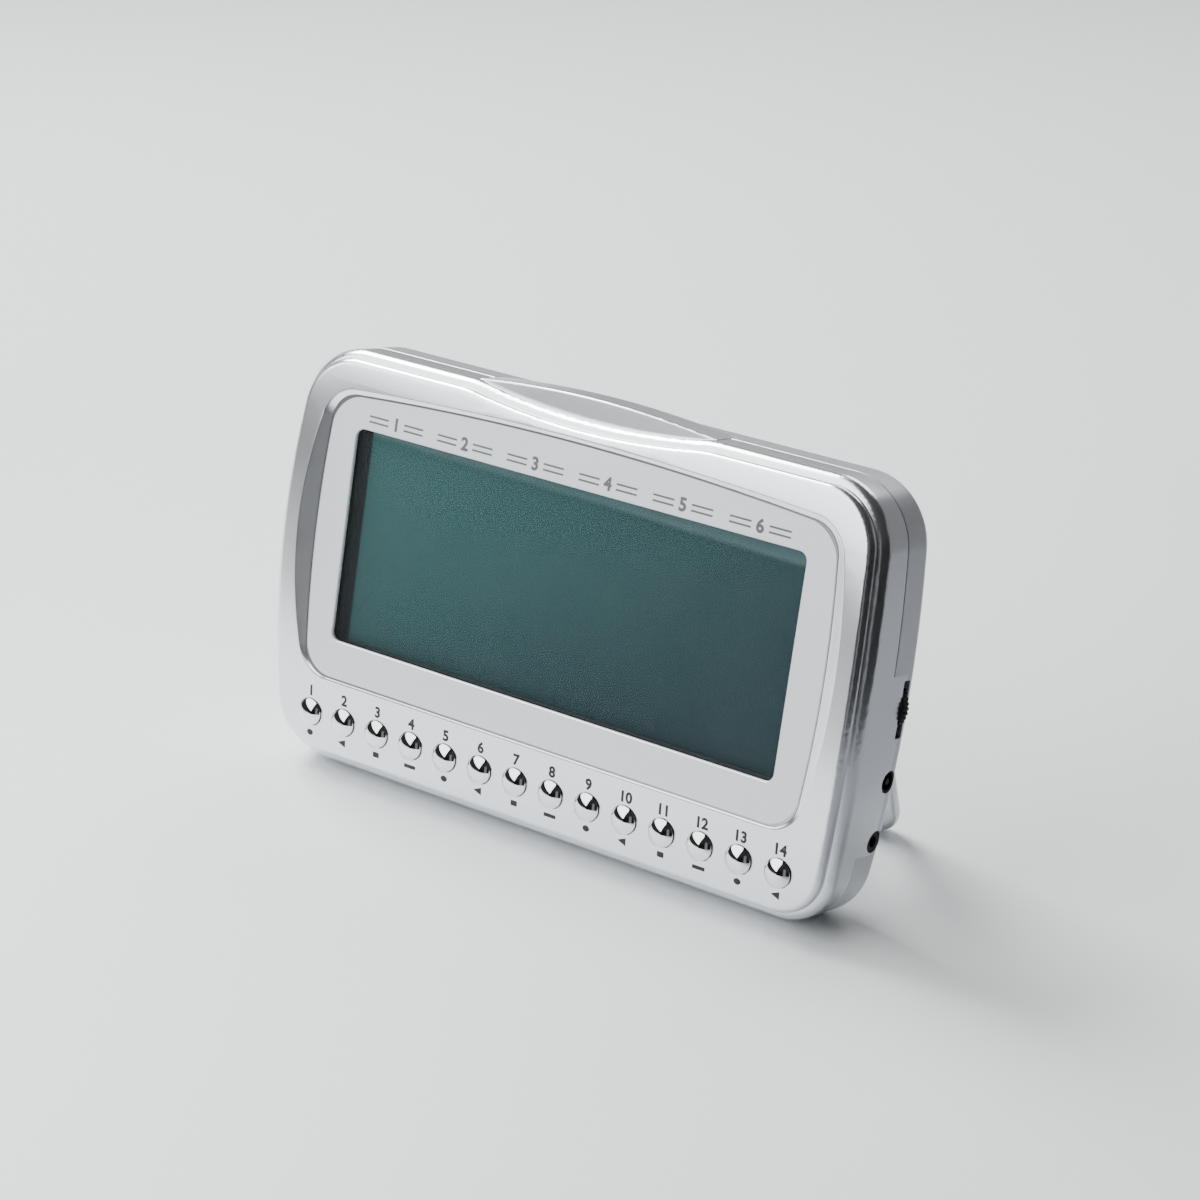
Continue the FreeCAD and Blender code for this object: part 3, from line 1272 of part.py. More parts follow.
def make_snooze_bar():
    """Lens-shaped bar on the top with its switches and small board."""
    bar = new_body("snooze_bar")
    half = size("bar_width") / 2
    top = size("body_top")
    rise = size("bar_rise")
    bottom = top - size("bar_skirt")
    bow = (half ** 2 + rise ** 2) / (2 * rise)
    spread = math.asin(half / bow)
    sketch = new_sketch(bar, "bar_section", depth="bar_front")
    sketch.addGeometry(arc(0, top + rise - bow, bow, PI / 2 - spread, PI / 2 + spread), False)
    corners = (V(-half, top, 0), V(-half, bottom, 0), V(half, bottom, 0), V(half, top, 0))
    for start, end in zip(corners, corners[1:]):
        sketch.addGeometry(Part.LineSegment(start, end), False)
    for step in range(4):
        sketch.addConstraint(Sketcher.Constraint("Coincident", step, 2, (step + 1) % 4, 1))
    pad(bar, sketch, "bar_back - bar_front")

    def upper_edge(edge):
        box = edge.BoundBox
        return box.ZMin > top - 0.01 and box.YLength < 0.01
    round_edges(bar, "0.6", upper_edge, "bar_softening")
    tabs = new_sketch(bar, "bar_tabs", TOP_PLANE, depth="body_top - wall - bar_travel - 2")
    reach = "(bar_width / 2 + 2.4)"
    rectangle(tabs, f"-{reach}", reach, "bar_front + 1.5", "bar_back - 1.5")
    pad(bar, tabs, "1.2", towards_back=False)
    switch_top = "(body_top - bar_skirt - bar_travel - fit_gap)"
    board_top = f"({switch_top} - plunger_height - switch_height)"
    switches = new_body("snooze_switches")
    bodies = new_sketch(switches, "snooze_bodies", TOP_PLANE, depth=board_top)
    middle = "(bar_front / 2 + bar_back / 2)"
    for turn in ("-", ""):
        x = f"({turn}bar_width / 4)"
        rectangle(bodies, f"{x} - switch_size / 2", f"{x} + switch_size / 2",
                  f"{middle} - switch_size / 2", f"{middle} + switch_size / 2")
    pad(switches, bodies, "switch_height", towards_back=False)
    plungers = new_sketch(switches, "snooze_plungers", TOP_PLANE, depth=f"{switch_top} - plunger_height - fit_gap")
    for turn in ("-", ""):
        circle(plungers, f"({turn}bar_width / 4)", middle, "plunger_radius")
    pad(switches, plungers, "plunger_height + fit_gap", towards_back=False)
    board = new_body("snooze_board")
    plate = new_sketch(board, "snooze_plate", TOP_PLANE, depth=f"{board_top} - board_thickness")
    rectangle(plate, "-bar_width / 2 + 8", "bar_width / 2 - 8", "bar_front", "bar_back")
    pad(board, plate, "board_thickness", towards_back=False)


# ---------------------------------------------------------------- volume wheel and jacks

def make_side_controls():
    """Side board with the potentiometer and its wheel, the power jack and the audio jack."""
    board = new_body("side_board")
    wall_face = side_of_housing(-size("audio_level")) - size("wall")
    board_depth = "side_board_depth"
    sketch = new_sketch(board, "side_plate", depth=board_depth)
    left = "(window_width / 2 + glass_margin + surround_wall + board_margin + 0.8)"
    rectangle(sketch, left, str(wall_face - 1.0), "-audio_level - jack_size / 2 - slide_gap", "tongue_top")
    pad(board, sketch, "board_thickness")
    face = f"({board_depth} + board_thickness)"

    across = side_of_housing(-size("wheel_level")) + size("wheel_proud") - size("wheel_radius")
    pot = new_body("volume_pot")
    sketch = new_sketch(pot, "pot_body", depth=face)
    half = "4.6"
    rounded_rectangle(sketch, f"{across} - {half}", f"{across} + {half}", f"-wheel_level - {half}",
                      f"{half} - wheel_level", "0.8")
    pot_end = "(side_joint_depth - wheel_thickness / 2 - slide_gap)"
    pad(pot, sketch, f"{pot_end} - {face}")
    hole = new_sketch(pot, "pot_bore", depth=f"{pot_end} - 4")
    circle(hole, str(across), "-wheel_level", "axle_radius + axle_fit")
    pocket(pot, hole, "5")

    wheel = new_body("volume_wheel")
    sketch = new_sketch(wheel, "wheel_disc", depth="side_joint_depth - wheel_thickness / 2")
    knurled_circle(sketch, across, -size("wheel_level"), size("wheel_radius"), 36, 0.35)
    pad(wheel, sketch, "wheel_thickness")
    axle = new_sketch(wheel, "wheel_axle", depth=f"{pot_end} - 3.5")
    circle(axle, str(across), "-wheel_level", "axle_radius")
    pad(wheel, axle, f"side_joint_depth + wheel_thickness / 2 + 1.0 - ({pot_end} - 3.5)")

    make_jack("power_jack", "power_level", "power_bore", "power_pin", face)
    make_jack("audio_jack", "audio_level", "audio_bore", None, face)


def knurled_circle(sketch, across, up, radius, teeth, depth):
    """Outline of a knurled wheel: shallow notches round a circle."""
    corners = []
    for tooth in range(teeth):
        for part, reach in ((0.0, radius), (0.5, radius), (0.62, radius - depth), (0.88, radius - depth)):
            angle = 2 * PI * (tooth + part) / teeth
            corners.append((across + reach * math.cos(angle), up + reach * math.sin(angle)))
    add_polygon(sketch, corners)


def make_jack(label, level, bore, pin, board_face):
    """A jack: square body on the side board, round nose in the housing's wall, bore."""
    jack = new_body(label)
    outer = side_of_housing(-size(level))
    inner = outer - size("wall") - size("fit_gap") - 0.6
    back = inner - size("jack_length")
    sketch = new_sketch(jack, label + "_body", SIDE_PLANE, depth=str(back))
    half = "jack_size / 2"
    rear = "(side_joint_depth + jack_radius - 0.3)"
    rectangle(sketch, board_face, rear, f"-{level} - {half}", f"{half} - {level}")
    pad(jack, sketch, "jack_length", towards_back=False)
    nose = new_sketch(jack, label + "_nose", SIDE_PLANE, depth=f"{inner} - fit_gap")
    circle(nose, "side_joint_depth", f"-{level}", "jack_radius")
    length = outer - inner - 0.4
    pad(jack, nose, f"{length} + fit_gap", towards_back=False)
    mouth = new_sketch(jack, label + "_mouth", SIDE_PLANE, depth=f"{outer} - 0.4 - jack_bore_depth")
    circle(mouth, "side_joint_depth", f"-{level}", bore)
    if pin:
        circle(mouth, "side_joint_depth", f"-{level}", pin)
    pocket(jack, mouth, "jack_bore_depth + 1", towards_back=False)


# ---------------------------------------------------------------- back: speaker, cells, door, stand

def make_speaker():
    """Basket, magnet and cone of the loudspeaker behind the grille."""
    rim = size("back_depth") - size("wall")
    radius = size("speaker_radius")
    back = rim - size("speaker_depth")
    plate = back + size("magnet_thickness")
    place = FreeCAD.Placement(V(size("speaker_middle"), 0, -size("speaker_level")), FreeCAD.Rotation())
    magnet_r = size("magnet_radius")
    basket = new_body("speaker_basket")
    skin = 0.8
    profile = ((rim, radius), (rim - 1.2, radius), (rim - 1.2, radius - 3.0), (plate + skin, magnet_r + 2.0),
               (plate, magnet_r + 2.0), (plate, magnet_r / 2), (plate + skin, magnet_r / 2),
               (plate + skin, magnet_r + 1.2), (rim - 1.2, radius - 3.8), (rim, radius - 3.8))
    ordered = (profile[0], profile[1], profile[2], profile[4], profile[5], profile[6], profile[7], profile[8],
               profile[9])
    sketch = new_sketch(basket, "basket_section", SIDE_PLANE)
    add_polygon(sketch, ordered)
    revolve(basket, sketch)
    magnet = new_body("speaker_magnet")
    sketch = new_sketch(magnet, "magnet_section", SIDE_PLANE)
    pole = magnet_r / 2 - 1.0
    add_polygon(sketch, ((back, 0), (plate, 0), (plate, magnet_r), (back, magnet_r)))
    revolve(magnet, sketch)
    cone = new_body("speaker_cone")
    sketch = new_sketch(cone, "cone_section", SIDE_PLANE)
    edge = rim - 1.2
    low = plate + skin + 0.4
    hem = radius - 3.8 - size("fit_gap")
    add_polygon(sketch, ((edge + 0.4, hem), (edge, hem), (low, pole), (low, 0.0), (low + 0.4, 0.0),
                         (low + 0.4, pole)))
    revolve(cone, sketch)
    for body in (basket, magnet, cone):
        body.Placement = place


def cell_depth():
    """Depth of the cells' axes: they lie on the bay's floor."""
    return "(bay_floor + bay_wall + cell_radius + fit_gap)"


def cell_level(number):
    """Level of one cell, as an expression."""
    return f"(({number} - (cell_count - 1) / 2) * cell_pitch - bay_level)"


def make_cells():
    """AA cells with their springs and contact plates."""
    cells = new_body("batteries")
    start = f"({bay_left()} + contact_thickness + spring_length)"
    cans = new_sketch(cells, "cell_cans", SIDE_PLANE, depth=start)
    nubs = new_sketch(cells, "cell_nubs", SIDE_PLANE, depth=f"{start} + cell_length - fit_gap")
    springs = new_body("battery_springs")
    coils = new_sketch(springs, "spring_coils", SIDE_PLANE, depth=f"{bay_left()} + contact_thickness")
    tips = new_sketch(springs, "spring_tips", SIDE_PLANE, depth=f"{bay_left()} + contact_thickness + spring_length / 2")
    plates = new_body("battery_contacts")
    left = new_sketch(plates, "left_contacts", SIDE_PLANE, depth=bay_left())
    right = new_sketch(plates, "right_contacts", SIDE_PLANE, depth=f"{bay_right()} - contact_thickness")
    half = "(cell_radius - 1)"
    for number in range(int(size("cell_count"))):
        level = cell_level(number)
        circle(cans, cell_depth(), level, "cell_radius")
        circle(nubs, cell_depth(), level, "cell_nub_radius")
        circle(coils, cell_depth(), level, "spring_radius")
        circle(tips, cell_depth(), level, "spring_radius - 0.8")
        rectangle(left, f"{cell_depth()} - {half}", f"{cell_depth()} + {half}", f"{level} - {half}", f"{level} + {half}")
        rectangle(right, f"{cell_depth()} - {half}", f"{cell_depth()} + {half}", f"{level} - {half}", f"{level} + {half}")
    pad(cells, cans, "cell_length", towards_back=False)
    pad(cells, nubs, "cell_nub_height + fit_gap", towards_back=False)
    pad(springs, coils, "spring_length / 2 + fit_gap", towards_back=False)
    pad(springs, tips, "spring_length / 2", towards_back=False)
    pad(plates, left, "contact_thickness", towards_back=False)
    pad(plates, right, "contact_thickness", towards_back=False)


def door_edge():
    """Lower edge of the battery door, as an expression."""
    return "(slide_gap - bay_level - bay_height / 2)"


def make_battery_door():
    """Door with a rounded lower edge, two tabs behind the cover and a grip."""
    door = new_body("battery_door")
    low = door_edge()
    high = "(bay_height / 2 - bay_level - slide_gap)"
    left = f"({bay_left()} - door_ledge / 2 + slide_gap)"
    right = f"({bay_right()} + door_ledge / 2 - slide_gap)"
    sketch = new_sketch(door, "door_plate", depth="back_depth - wall + axle_fit")
    rectangle(sketch, left, right, low, high)
    pad(door, sketch, "wall - axle_fit")
    bottom = amount(low)

    def lower_edge(edge):
        box = edge.BoundBox
        return abs(box.ZMin - bottom) < 0.01 and box.ZLength < 0.01 and box.XLength > size("tab_spacing") / 2
    round_edges(door, "wall / 2 - 2 * axle_fit", lower_edge, "door_rounding")
    tabs = new_sketch(door, "door_tabs", depth="back_depth - 2 * wall")
    for turn in ("-", ""):
        middle = f"({turn}tab_spacing / 2 - bay_middle)"
        rectangle(tabs, f"{middle} - tab_width / 2", f"{middle} + tab_width / 2",
                  f"{low} - tab_length", f"{low} + 3")
    pad(door, tabs, "wall - slide_gap / 2")
    roots = new_sketch(door, "tab_roots", depth="back_depth - 2 * wall")
    for turn in ("-", ""):
        middle = f"({turn}tab_spacing / 2 - bay_middle)"
        rectangle(roots, f"{middle} - tab_width / 2", f"{middle} + tab_width / 2", f"{low} + 1.5", f"{low} + 3")
    pad(door, roots, "1.5 * wall")
    grip = new_sketch(door, "door_grip", depth="back_depth - wall / 2")
    for step in range(3):
        level = f"({high} - 4 - {step} * 2.4)"
        rectangle(grip, "-bay_middle - 7", "7 - bay_middle", f"{level} - 0.6", f"{level} + 0.6")
    pocket(door, grip, "wall")
    return door


def make_stand():
    """Fold-out stand: two legs, a foot bar and two pins, drawn folded."""
    stand = new_body("stand")
    front = "(pivot_depth - stand_thickness / 2)"
    sketch = new_sketch(stand, "stand_outline", depth=front)
    half = "stand_width / 2"
    low = "(pivot_level - stand_reach)"
    rectangle(sketch, f"-{half}", half, low, "pivot_level + stand_heel")
    pad(stand, sketch, "stand_thickness")
    inner = f"({half} - stand_leg)"
    window = new_sketch(stand, "stand_window", depth=f"{front} - 1")
    rectangle(window, f"-{inner}", inner, f"{low} + stand_foot", "pivot_level + 2 * stand_heel")
    pocket(stand, window, "stand_thickness + 2")
    bottom = size("pivot_level") - size("stand_reach")
    reach = size("stand_width") / 2

    def outer_corner(edge):
        box = edge.BoundBox
        return on_straight_depth(edge) and abs(box.ZMin - bottom) < 0.01 and abs(abs(box.XMin) - reach) < 0.01
    round_edges(stand, "stand_corner", outer_corner, "stand_corners")

    def foot_edge(edge):
        box = edge.BoundBox
        return abs(box.ZMin - bottom) < 0.01 and box.YLength < 0.001 and not on_straight_depth(edge)
    round_edges(stand, "stand_thickness / 2 - axle_fit", foot_edge, "foot_rounding")
    pins = new_sketch(stand, "stand_pins", SIDE_PLANE, depth=f"{inner} - trunnion_length")
    circle(pins, "pivot_depth", "pivot_level", "trunnion_radius")
    pad(stand, pins, "trunnion_length + 1", towards_back=False)
    pins = new_sketch(stand, "stand_left_pins", SIDE_PLANE, depth=f"-{inner} - 1")
    circle(pins, "pivot_depth", "pivot_level", "trunnion_radius")
    pad(stand, pins, "trunnion_length + 1", towards_back=False)
    pivot = V(0, size("pivot_depth"), size("pivot_level"))
    turn = FreeCAD.Rotation(V(1, 0, 0), math.degrees(open_angle()))
    stand.Placement = FreeCAD.Placement(pivot - turn.multVec(pivot), turn)


def make_housing_screws():
    """Six screws from the back into the front frame's bosses."""
    screws = new_body("housing_screws")
    shanks = new_sketch(screws, "screw_shanks", depth="screw_seat - screw_length")
    heads = new_sketch(screws, "screw_heads", depth="screw_seat")
    slots = new_sketch(screws, "screw_slots", depth="screw_seat + screw_head_height / 2")
    for x, z in screw_places():
        circle(shanks, x, z, "screw_radius")
        circle(heads, x, z, "screw_head_radius")
        rectangle(slots, f"{x} - 1.6", f"{x} + 1.6", f"{z} - 0.4", f"{z} + 0.4")
        rectangle(slots, f"{x} - 0.4", f"{x} + 0.4", f"{z} + 0.4", f"{z} + 1.6")
        rectangle(slots, f"{x} - 0.4", f"{x} + 0.4", f"{z} - 1.6", f"{z} - 0.4")
    pad(screws, shanks, "screw_length + fit_gap")
    pad(screws, heads, "screw_head_height")
    pocket(screws, slots, "screw_head_height")


# ---------------------------------------------------------------- standing the clock up

def stand_upright():
    """Lean every piece back and put the origin on the table below the clock's middle."""
    lean = FreeCAD.Rotation(V(1, 0, 0), -size("lean"))
    leaning = FreeCAD.Placement(V(0, 0, 0), lean)
    whole = FreeCAD.BoundBox()
    for body in PIECES.values():
        shape = body.Shape.copy()
        shape.Placement = leaning.multiply(shape.Placement)
        whole.add(shape.optimalBoundingBox(False, False))
    middle = whole.Center
    shift = FreeCAD.Placement(V(-middle.x, -middle.y, -table_level()), FreeCAD.Rotation())
    for body in PIECES.values():
        body.Placement = shift.multiply(leaning).multiply(body.Placement)
    doc.recompute()
    return shift.multiply(leaning)


def write_parts():
    """Check every object, then write each piece to its own file."""
    for thing in doc.Objects:
        assert "Invalid" not in thing.State and "Error" not in thing.State, f"{thing.Name}: {thing.State}"
    os.makedirs("parts", exist_ok=True)
    for label, body in PIECES.items():
        shape = body.Shape
        assert not shape.isNull() and shape.isValid() and shape.Solids, f"{label} isn't a valid solid"
        shape.exportStep(f"parts/{label}.step")


make_front_frame()
make_rear_cover()
make_display()
make_keys()
make_snooze_bar()
make_side_controls()
make_speaker()
make_cells()
make_battery_door()
make_stand()
make_housing_screws()
STANDING = stand_upright()
write_parts()
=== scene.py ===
"""Dresses the azan clock: smooth bezel, chrome keys, teal display, soft studio.

Lengths are metres. Pieces are shaped in the upright frame of the clock's face, X to the right,
Y from the face to the back and Z up from the middle of the display window, and then leant back
with the clock by the Stance class, so that every finished object sits at the origin.
"""

import json
import logging
import math
from dataclasses import dataclass, field
from enum import Enum

import bmesh
import bpy
from mathutils import Matrix, Vector

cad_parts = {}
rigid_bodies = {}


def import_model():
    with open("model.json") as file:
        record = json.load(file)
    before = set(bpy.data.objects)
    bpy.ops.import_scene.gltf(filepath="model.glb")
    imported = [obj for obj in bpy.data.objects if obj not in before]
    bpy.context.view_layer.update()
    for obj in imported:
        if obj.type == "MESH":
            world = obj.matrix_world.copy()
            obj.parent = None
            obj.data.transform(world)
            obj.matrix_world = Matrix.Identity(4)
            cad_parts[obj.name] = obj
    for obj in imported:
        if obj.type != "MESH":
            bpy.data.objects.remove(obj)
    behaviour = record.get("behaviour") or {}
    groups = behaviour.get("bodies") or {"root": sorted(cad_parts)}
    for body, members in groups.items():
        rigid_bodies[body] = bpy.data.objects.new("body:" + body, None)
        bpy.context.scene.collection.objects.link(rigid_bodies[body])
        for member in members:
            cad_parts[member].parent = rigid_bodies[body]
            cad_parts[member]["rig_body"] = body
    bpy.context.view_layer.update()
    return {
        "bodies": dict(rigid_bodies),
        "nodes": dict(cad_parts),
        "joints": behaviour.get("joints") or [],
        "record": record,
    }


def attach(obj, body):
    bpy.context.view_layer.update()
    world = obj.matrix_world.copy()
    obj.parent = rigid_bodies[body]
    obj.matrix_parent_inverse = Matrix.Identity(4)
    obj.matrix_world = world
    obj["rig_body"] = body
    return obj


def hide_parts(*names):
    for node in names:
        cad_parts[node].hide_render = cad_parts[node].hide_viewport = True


LOG = logging.getLogger("azan_clock")
MM = 0.001
Colour = tuple[float, float, float]
Triple = tuple[float, float, float]
Pair = tuple[float, float]
ORIGIN: Triple = (0.0, 0.0, 0.0)


# ------------------------------------------------------------------ shader maths


class Flow:
    """A shader socket that joins in Python sums and products."""

    def __init__(self, graph: "Graph", socket: bpy.types.NodeSocket) -> None:
        """Keep the graph and the output socket."""
        self.graph = graph
        self.socket = socket

    def _maths(self, operation: str, first: "Flow | float", second: "Flow | float" = 0.0) -> "Flow":
        """Add one Math node.

        Args:
            operation: the Math node's operation.
            first: left operand.
            second: right operand, unused by an operation on one value.

        Returns:
            The node's result.
        """
        node = self.graph.node("ShaderNodeMath", {"operation": operation}, {0: first, 1: second})
        return self.graph.flow(node)

    def __add__(self, other: "Flow | float") -> "Flow":
        """Sum."""
        return self._maths("ADD", self, other)

    __radd__ = __add__

    def __sub__(self, other: "Flow | float") -> "Flow":
        """Difference."""
        return self._maths("SUBTRACT", self, other)

    def __rsub__(self, other: float) -> "Flow":
        """Difference from a number."""
        return self._maths("SUBTRACT", other, self)

    def __mul__(self, other: "Flow | float") -> "Flow":
        """Product."""
        return self._maths("MULTIPLY", self, other)

    __rmul__ = __mul__

    def larger(self, other: "Flow | float") -> "Flow":
        """The greater of the two."""
        return self._maths("MAXIMUM", self, other)

    def root(self) -> "Flow":
        """Square root."""
        return self._maths("SQRT", self)

    def magnitude(self) -> "Flow":
        """Value without its sign."""
        return self._maths("ABSOLUTE", self)

    def arc(self) -> "Flow":
        """Angle in radians whose sine this is."""
        return self._maths("ARCSINE", self)

    def swing(self, amount: float) -> "Flow":
        """Turn a noise around a half into a change of up to half the amount either way."""
        return (self - 0.5) * amount

    def step(self, low: float, high: float) -> "Flow":
        """Rise smoothly from 0 to 1.

        Args:
            low: value where the rise begins.
            high: value where it ends.

        Returns:
            The share risen.
        """
        node = self.graph.node("ShaderNodeMapRange", {"interpolation_type": "SMOOTHSTEP"},
                               {"Value": self, "From Min": low, "From Max": high})
        return self.graph.flow(node, "Result")


class Graph:
    """A node tree under construction."""

    def __init__(self, tree: bpy.types.NodeTree) -> None:
        """Keep the tree."""
        self.tree = tree

    def node(self, kind: str, settings: dict[str, object],
             inputs: dict[str | int, object]) -> bpy.types.Node:
        """Add a node to the tree.

        Args:
            kind: node type.
            settings: attributes of the node, set first.
            inputs: values or Flows for named or numbered sockets.

        Returns:
            The node.
        """
        node = self.tree.nodes.new(kind)
        for key, value in settings.items():
            setattr(node, key, value)
        for key, value in inputs.items():
            self.feed(node.inputs[key], value)
        return node

    def feed(self, socket: bpy.types.NodeSocket, value: object) -> None:
        """Link a Flow to a socket, or set a value on it.

        Args:
            socket: input socket.
            value: Flow, number, vector or colour.
        """
        if isinstance(value, Flow):
            self.tree.links.new(value.socket, socket)
        elif isinstance(value, tuple) and len(value) == 3 and socket.type == "RGBA":
            socket.default_value = (*value, 1.0)
        else:
            socket.default_value = value

    def flow(self, node: bpy.types.Node, output: str | int = 0) -> Flow:
        """An output of a node as a Flow."""
        return Flow(self, node.outputs[output])

    def coordinates(self, kind: str) -> Flow:
        """Texture coordinates of one kind."""
        return self.flow(self.node("ShaderNodeTexCoord", {}, {}), kind)

    def split(self, vector: Flow, *axes: str) -> tuple[Flow, ...]:
        """The named components of a vector."""
        node = self.node("ShaderNodeSeparateXYZ", {}, {"Vector": vector})
        return tuple(self.flow(node, axis) for axis in axes)

    def blend(self, share: Flow | float, first: Colour | Flow, second: Colour | Flow) -> Flow:
        """Mix two colours."""
        node = self.node("ShaderNodeMix", {"data_type": "RGBA"}, {0: share, 6: first, 7: second})
        return self.flow(node, 2)


class Shader(Graph):
    """One material and its node tree."""

    noise_roughness: float = 0.55

    def __init__(self, name: str) -> None:
        """Start a material with a Principled shader.

        Args:
            name: material name.
        """
        self.material = bpy.data.materials.new(name)
        self.material.use_nodes = True
        super().__init__(self.material.node_tree)
        self.skin = self.tree.nodes["Principled BSDF"]

    def set(self, **values: object) -> None:
        """Set or link sockets of the Principled shader, with _ for a space."""
        for key, value in values.items():
            self.feed(self.skin.inputs[key.replace("_", " ")], value)

    def place(self, turn: float = 0.0, shift: Triple = ORIGIN) -> Flow:
        """Object coordinates, turned about X and then shifted.

        Args:
            turn: angle in radians.
            shift: what is added after the turn.

        Returns:
            The coordinates.
        """
        inputs = {"Vector": self.coordinates("Object"), "Rotation": (turn, 0.0, 0.0), "Location": shift}
        return self.flow(self.node("ShaderNodeMapping", {"vector_type": "POINT"}, inputs))

    def upright(self) -> Flow:
        """Object coordinates in the upright frame of the clock's face."""
        stance = Stance()
        return self.place(stance.lean, stance.unshift())

    def noise(self, scale: float, detail: float = 2.0, where: Flow | None = None) -> Flow:
        """Noise on object coordinates.

        Args:
            scale: features per metre.
            detail: octaves.
            where: other coordinates to use.

        Returns:
            Noise between 0 and 1.
        """
        inputs = {"Vector": where or self.place(), "Scale": scale, "Detail": detail,
                  "Roughness": self.noise_roughness}
        return self.flow(self.node("ShaderNodeTexNoise", {}, inputs))

    def relief(self, height: Flow, strength: float, distance: float) -> None:
        """Bump the surface."""
        inputs = {"Height": height, "Strength": strength, "Distance": distance}
        self.set(Normal=self.flow(self.node("ShaderNodeBump", {}, inputs)))


def shade(colour: Colour, amount: float) -> Colour:
    """A colour made lighter or darker by a factor."""
    return tuple(min(1.0, part * amount) for part in colour)


# ------------------------------------------------------------------ finishes


@dataclass(frozen=True)
class SatinPaint:
    """Sprayed metallic paint with fine flakes over plastic."""

    name: str
    colour: Colour
    metallic: float = 0.75
    roughness: float = 0.32
    flake: float = 0.05
    coat: float = 0.15
    coat_roughness: float = 0.18
    flake_scale: float = 3800.0
    cloud_scale: float = 14.0
    peel_scale: float = 420.0
    flake_range: Pair = (0.35, 0.7)
    flake_share: float = 0.6
    cloud_gloss: float = 0.06
    flake_gloss: float = 0.02
    peel_share: float = 0.9
    peel_strength: float = 0.015
    peel_depth: float = 0.04 * MM

    def material(self) -> bpy.types.Material:
        """Build the material.

        Returns:
            The material.
        """
        shader = Shader(self.name)
        flakes = shader.noise(self.flake_scale, 1.0)
        cloud = shader.noise(self.cloud_scale, 3.0)
        peel = shader.noise(self.peel_scale, 2.0)
        tone = flakes.step(*self.flake_range) * self.flake_share + cloud * (1.0 - self.flake_share)
        base = shader.blend(tone, shade(self.colour, 1.0 - self.flake),
                            shade(self.colour, 1.0 + self.flake))
        gloss = self.roughness + cloud.swing(self.cloud_gloss) + flakes.swing(self.flake_gloss)
        shader.set(Base_Color=self._lined(shader, base), Metallic=self.metallic, Coat_Weight=self.coat,
                   Coat_Roughness=self.coat_roughness, Roughness=gloss)
        shader.relief(peel * self.peel_share + flakes * (1.0 - self.peel_share), self.peel_strength,
                      self.peel_depth)
        return shader.material

    def _lined(self, shader: Shader, base: Flow) -> Flow:
        """The colour with any painted shade of a gap that this paint carries; plain paint has none."""
        return base


@dataclass(frozen=True)
class PanelPaint(SatinPaint):
    """Satin paint of the display panel, with painted shade of the gap along its outline."""

    half_width: float = 99.8 * MM
    top: float = 49.5 * MM
    bottom: float = -48.4 * MM
    side_bow: float = 380.0 * MM
    top_bow: float = 1080.0 * MM
    corner: float = 10.0 * MM
    line: float = 0.42 * MM
    line_soft: Pair = (0.15 * MM, 0.05 * MM)
    # colour of the painted shade of the gap round the panel
    line_colour: Colour = (0.06, 0.065, 0.075)
    faint: float = 0.35
    stronger: float = 0.55
    pull: Pair = (4.0, 6.0)
    pull_range: Pair = (-0.75, 0.35)

    def _lined(self, shader: Shader, base: Flow) -> Flow:
        """Paint the gap's shade as a thin dark line just inside the outline, more along the top and the
        left.

        Args:
            shader: the material's shader.
            base: the paint's colour.

        Returns:
            The colour with the painted shade.
        """
        across, up = shader.split(shader.upright(), "X", "Z")
        wide = across.magnitude() + (self.side_bow - self.half_width)
        side = (wide * wide + up * up).root() - self.side_bow
        high = up + (self.top_bow - self.top)
        above = (across * across + high * high).root() - self.top_bow
        end = above.larger(self.bottom - up)
        out, over = (side + self.corner).larger(0.0), (end + self.corner).larger(0.0)
        away = (out * out + over * over).root() - self.corner
        # painted shade: a thin dark line for the shadowed gap, stronger along the top and the left
        share = away.step(-self.line - self.line_soft[0], -self.line + self.line_soft[1])
        pulled = (up * self.pull[1] - across * self.pull[0]).step(*self.pull_range)
        weight = pulled * self.stronger + self.faint
        return shader.blend(share * weight, base, self.line_colour)


@dataclass(frozen=True)
class MouldedPlastic:
    """Moulded plastic with a fine spark-eroded texture."""

    name: str
    colour: Colour
    roughness: float = 0.5
    metallic: float = 0.0
    grain: float = 1500.0
    depth: float = 0.03 * MM
    strength: float = 0.12
    cloud_scale: float = 30.0
    cloud_tone: float = 0.08
    grain_gloss: float = 0.12
    cloud_gloss: float = 0.06

    def material(self) -> bpy.types.Material:
        """Build the material.

        Returns:
            The material.
        """
        shader = Shader(self.name)
        texture = shader.noise(self.grain, 3.0)
        cloud = shader.noise(self.cloud_scale, 2.0)
        base = shader.blend(cloud, shade(self.colour, 1.0 - self.cloud_tone),
                            shade(self.colour, 1.0 + self.cloud_tone))
        gloss = self.roughness + texture.swing(self.grain_gloss) + cloud.swing(self.cloud_gloss)
        shader.set(Base_Color=base, Metallic=self.metallic, Roughness=gloss)
        shader.relief(texture, self.strength, self.depth)
        return shader.material


@dataclass(frozen=True)
class BrightMetal:
    """Plated or turned metal with faint handling marks."""

    name: str
    colour: Colour
    roughness: float = 0.05
    marks: float = 0.03
    smear_scale: float = 220.0
    smear_range: Pair = (0.45, 0.8)
    smear_tone: float = 0.96
    fine_scale: float = 2500.0
    fine_gloss: float = 0.01
    strength: float = 0.02
    depth: float = 0.01 * MM

    def material(self) -> bpy.types.Material:
        """Build the material.

        Returns:
            The material.
        """
        shader = Shader(self.name)
        smear = shader.noise(self.smear_scale, 3.0)
        fine = shader.noise(self.fine_scale, 2.0)
        base = shader.blend(smear, shade(self.colour, self.smear_tone), self.colour)
        rubbed = smear.step(*self.smear_range) * self.marks
        gloss = self.roughness + rubbed + fine.swing(self.fine_gloss)
        shader.set(Base_Color=base, Metallic=1.0, Roughness=gloss)
        shader.relief(fine, self.strength, self.depth)
        return shader.material


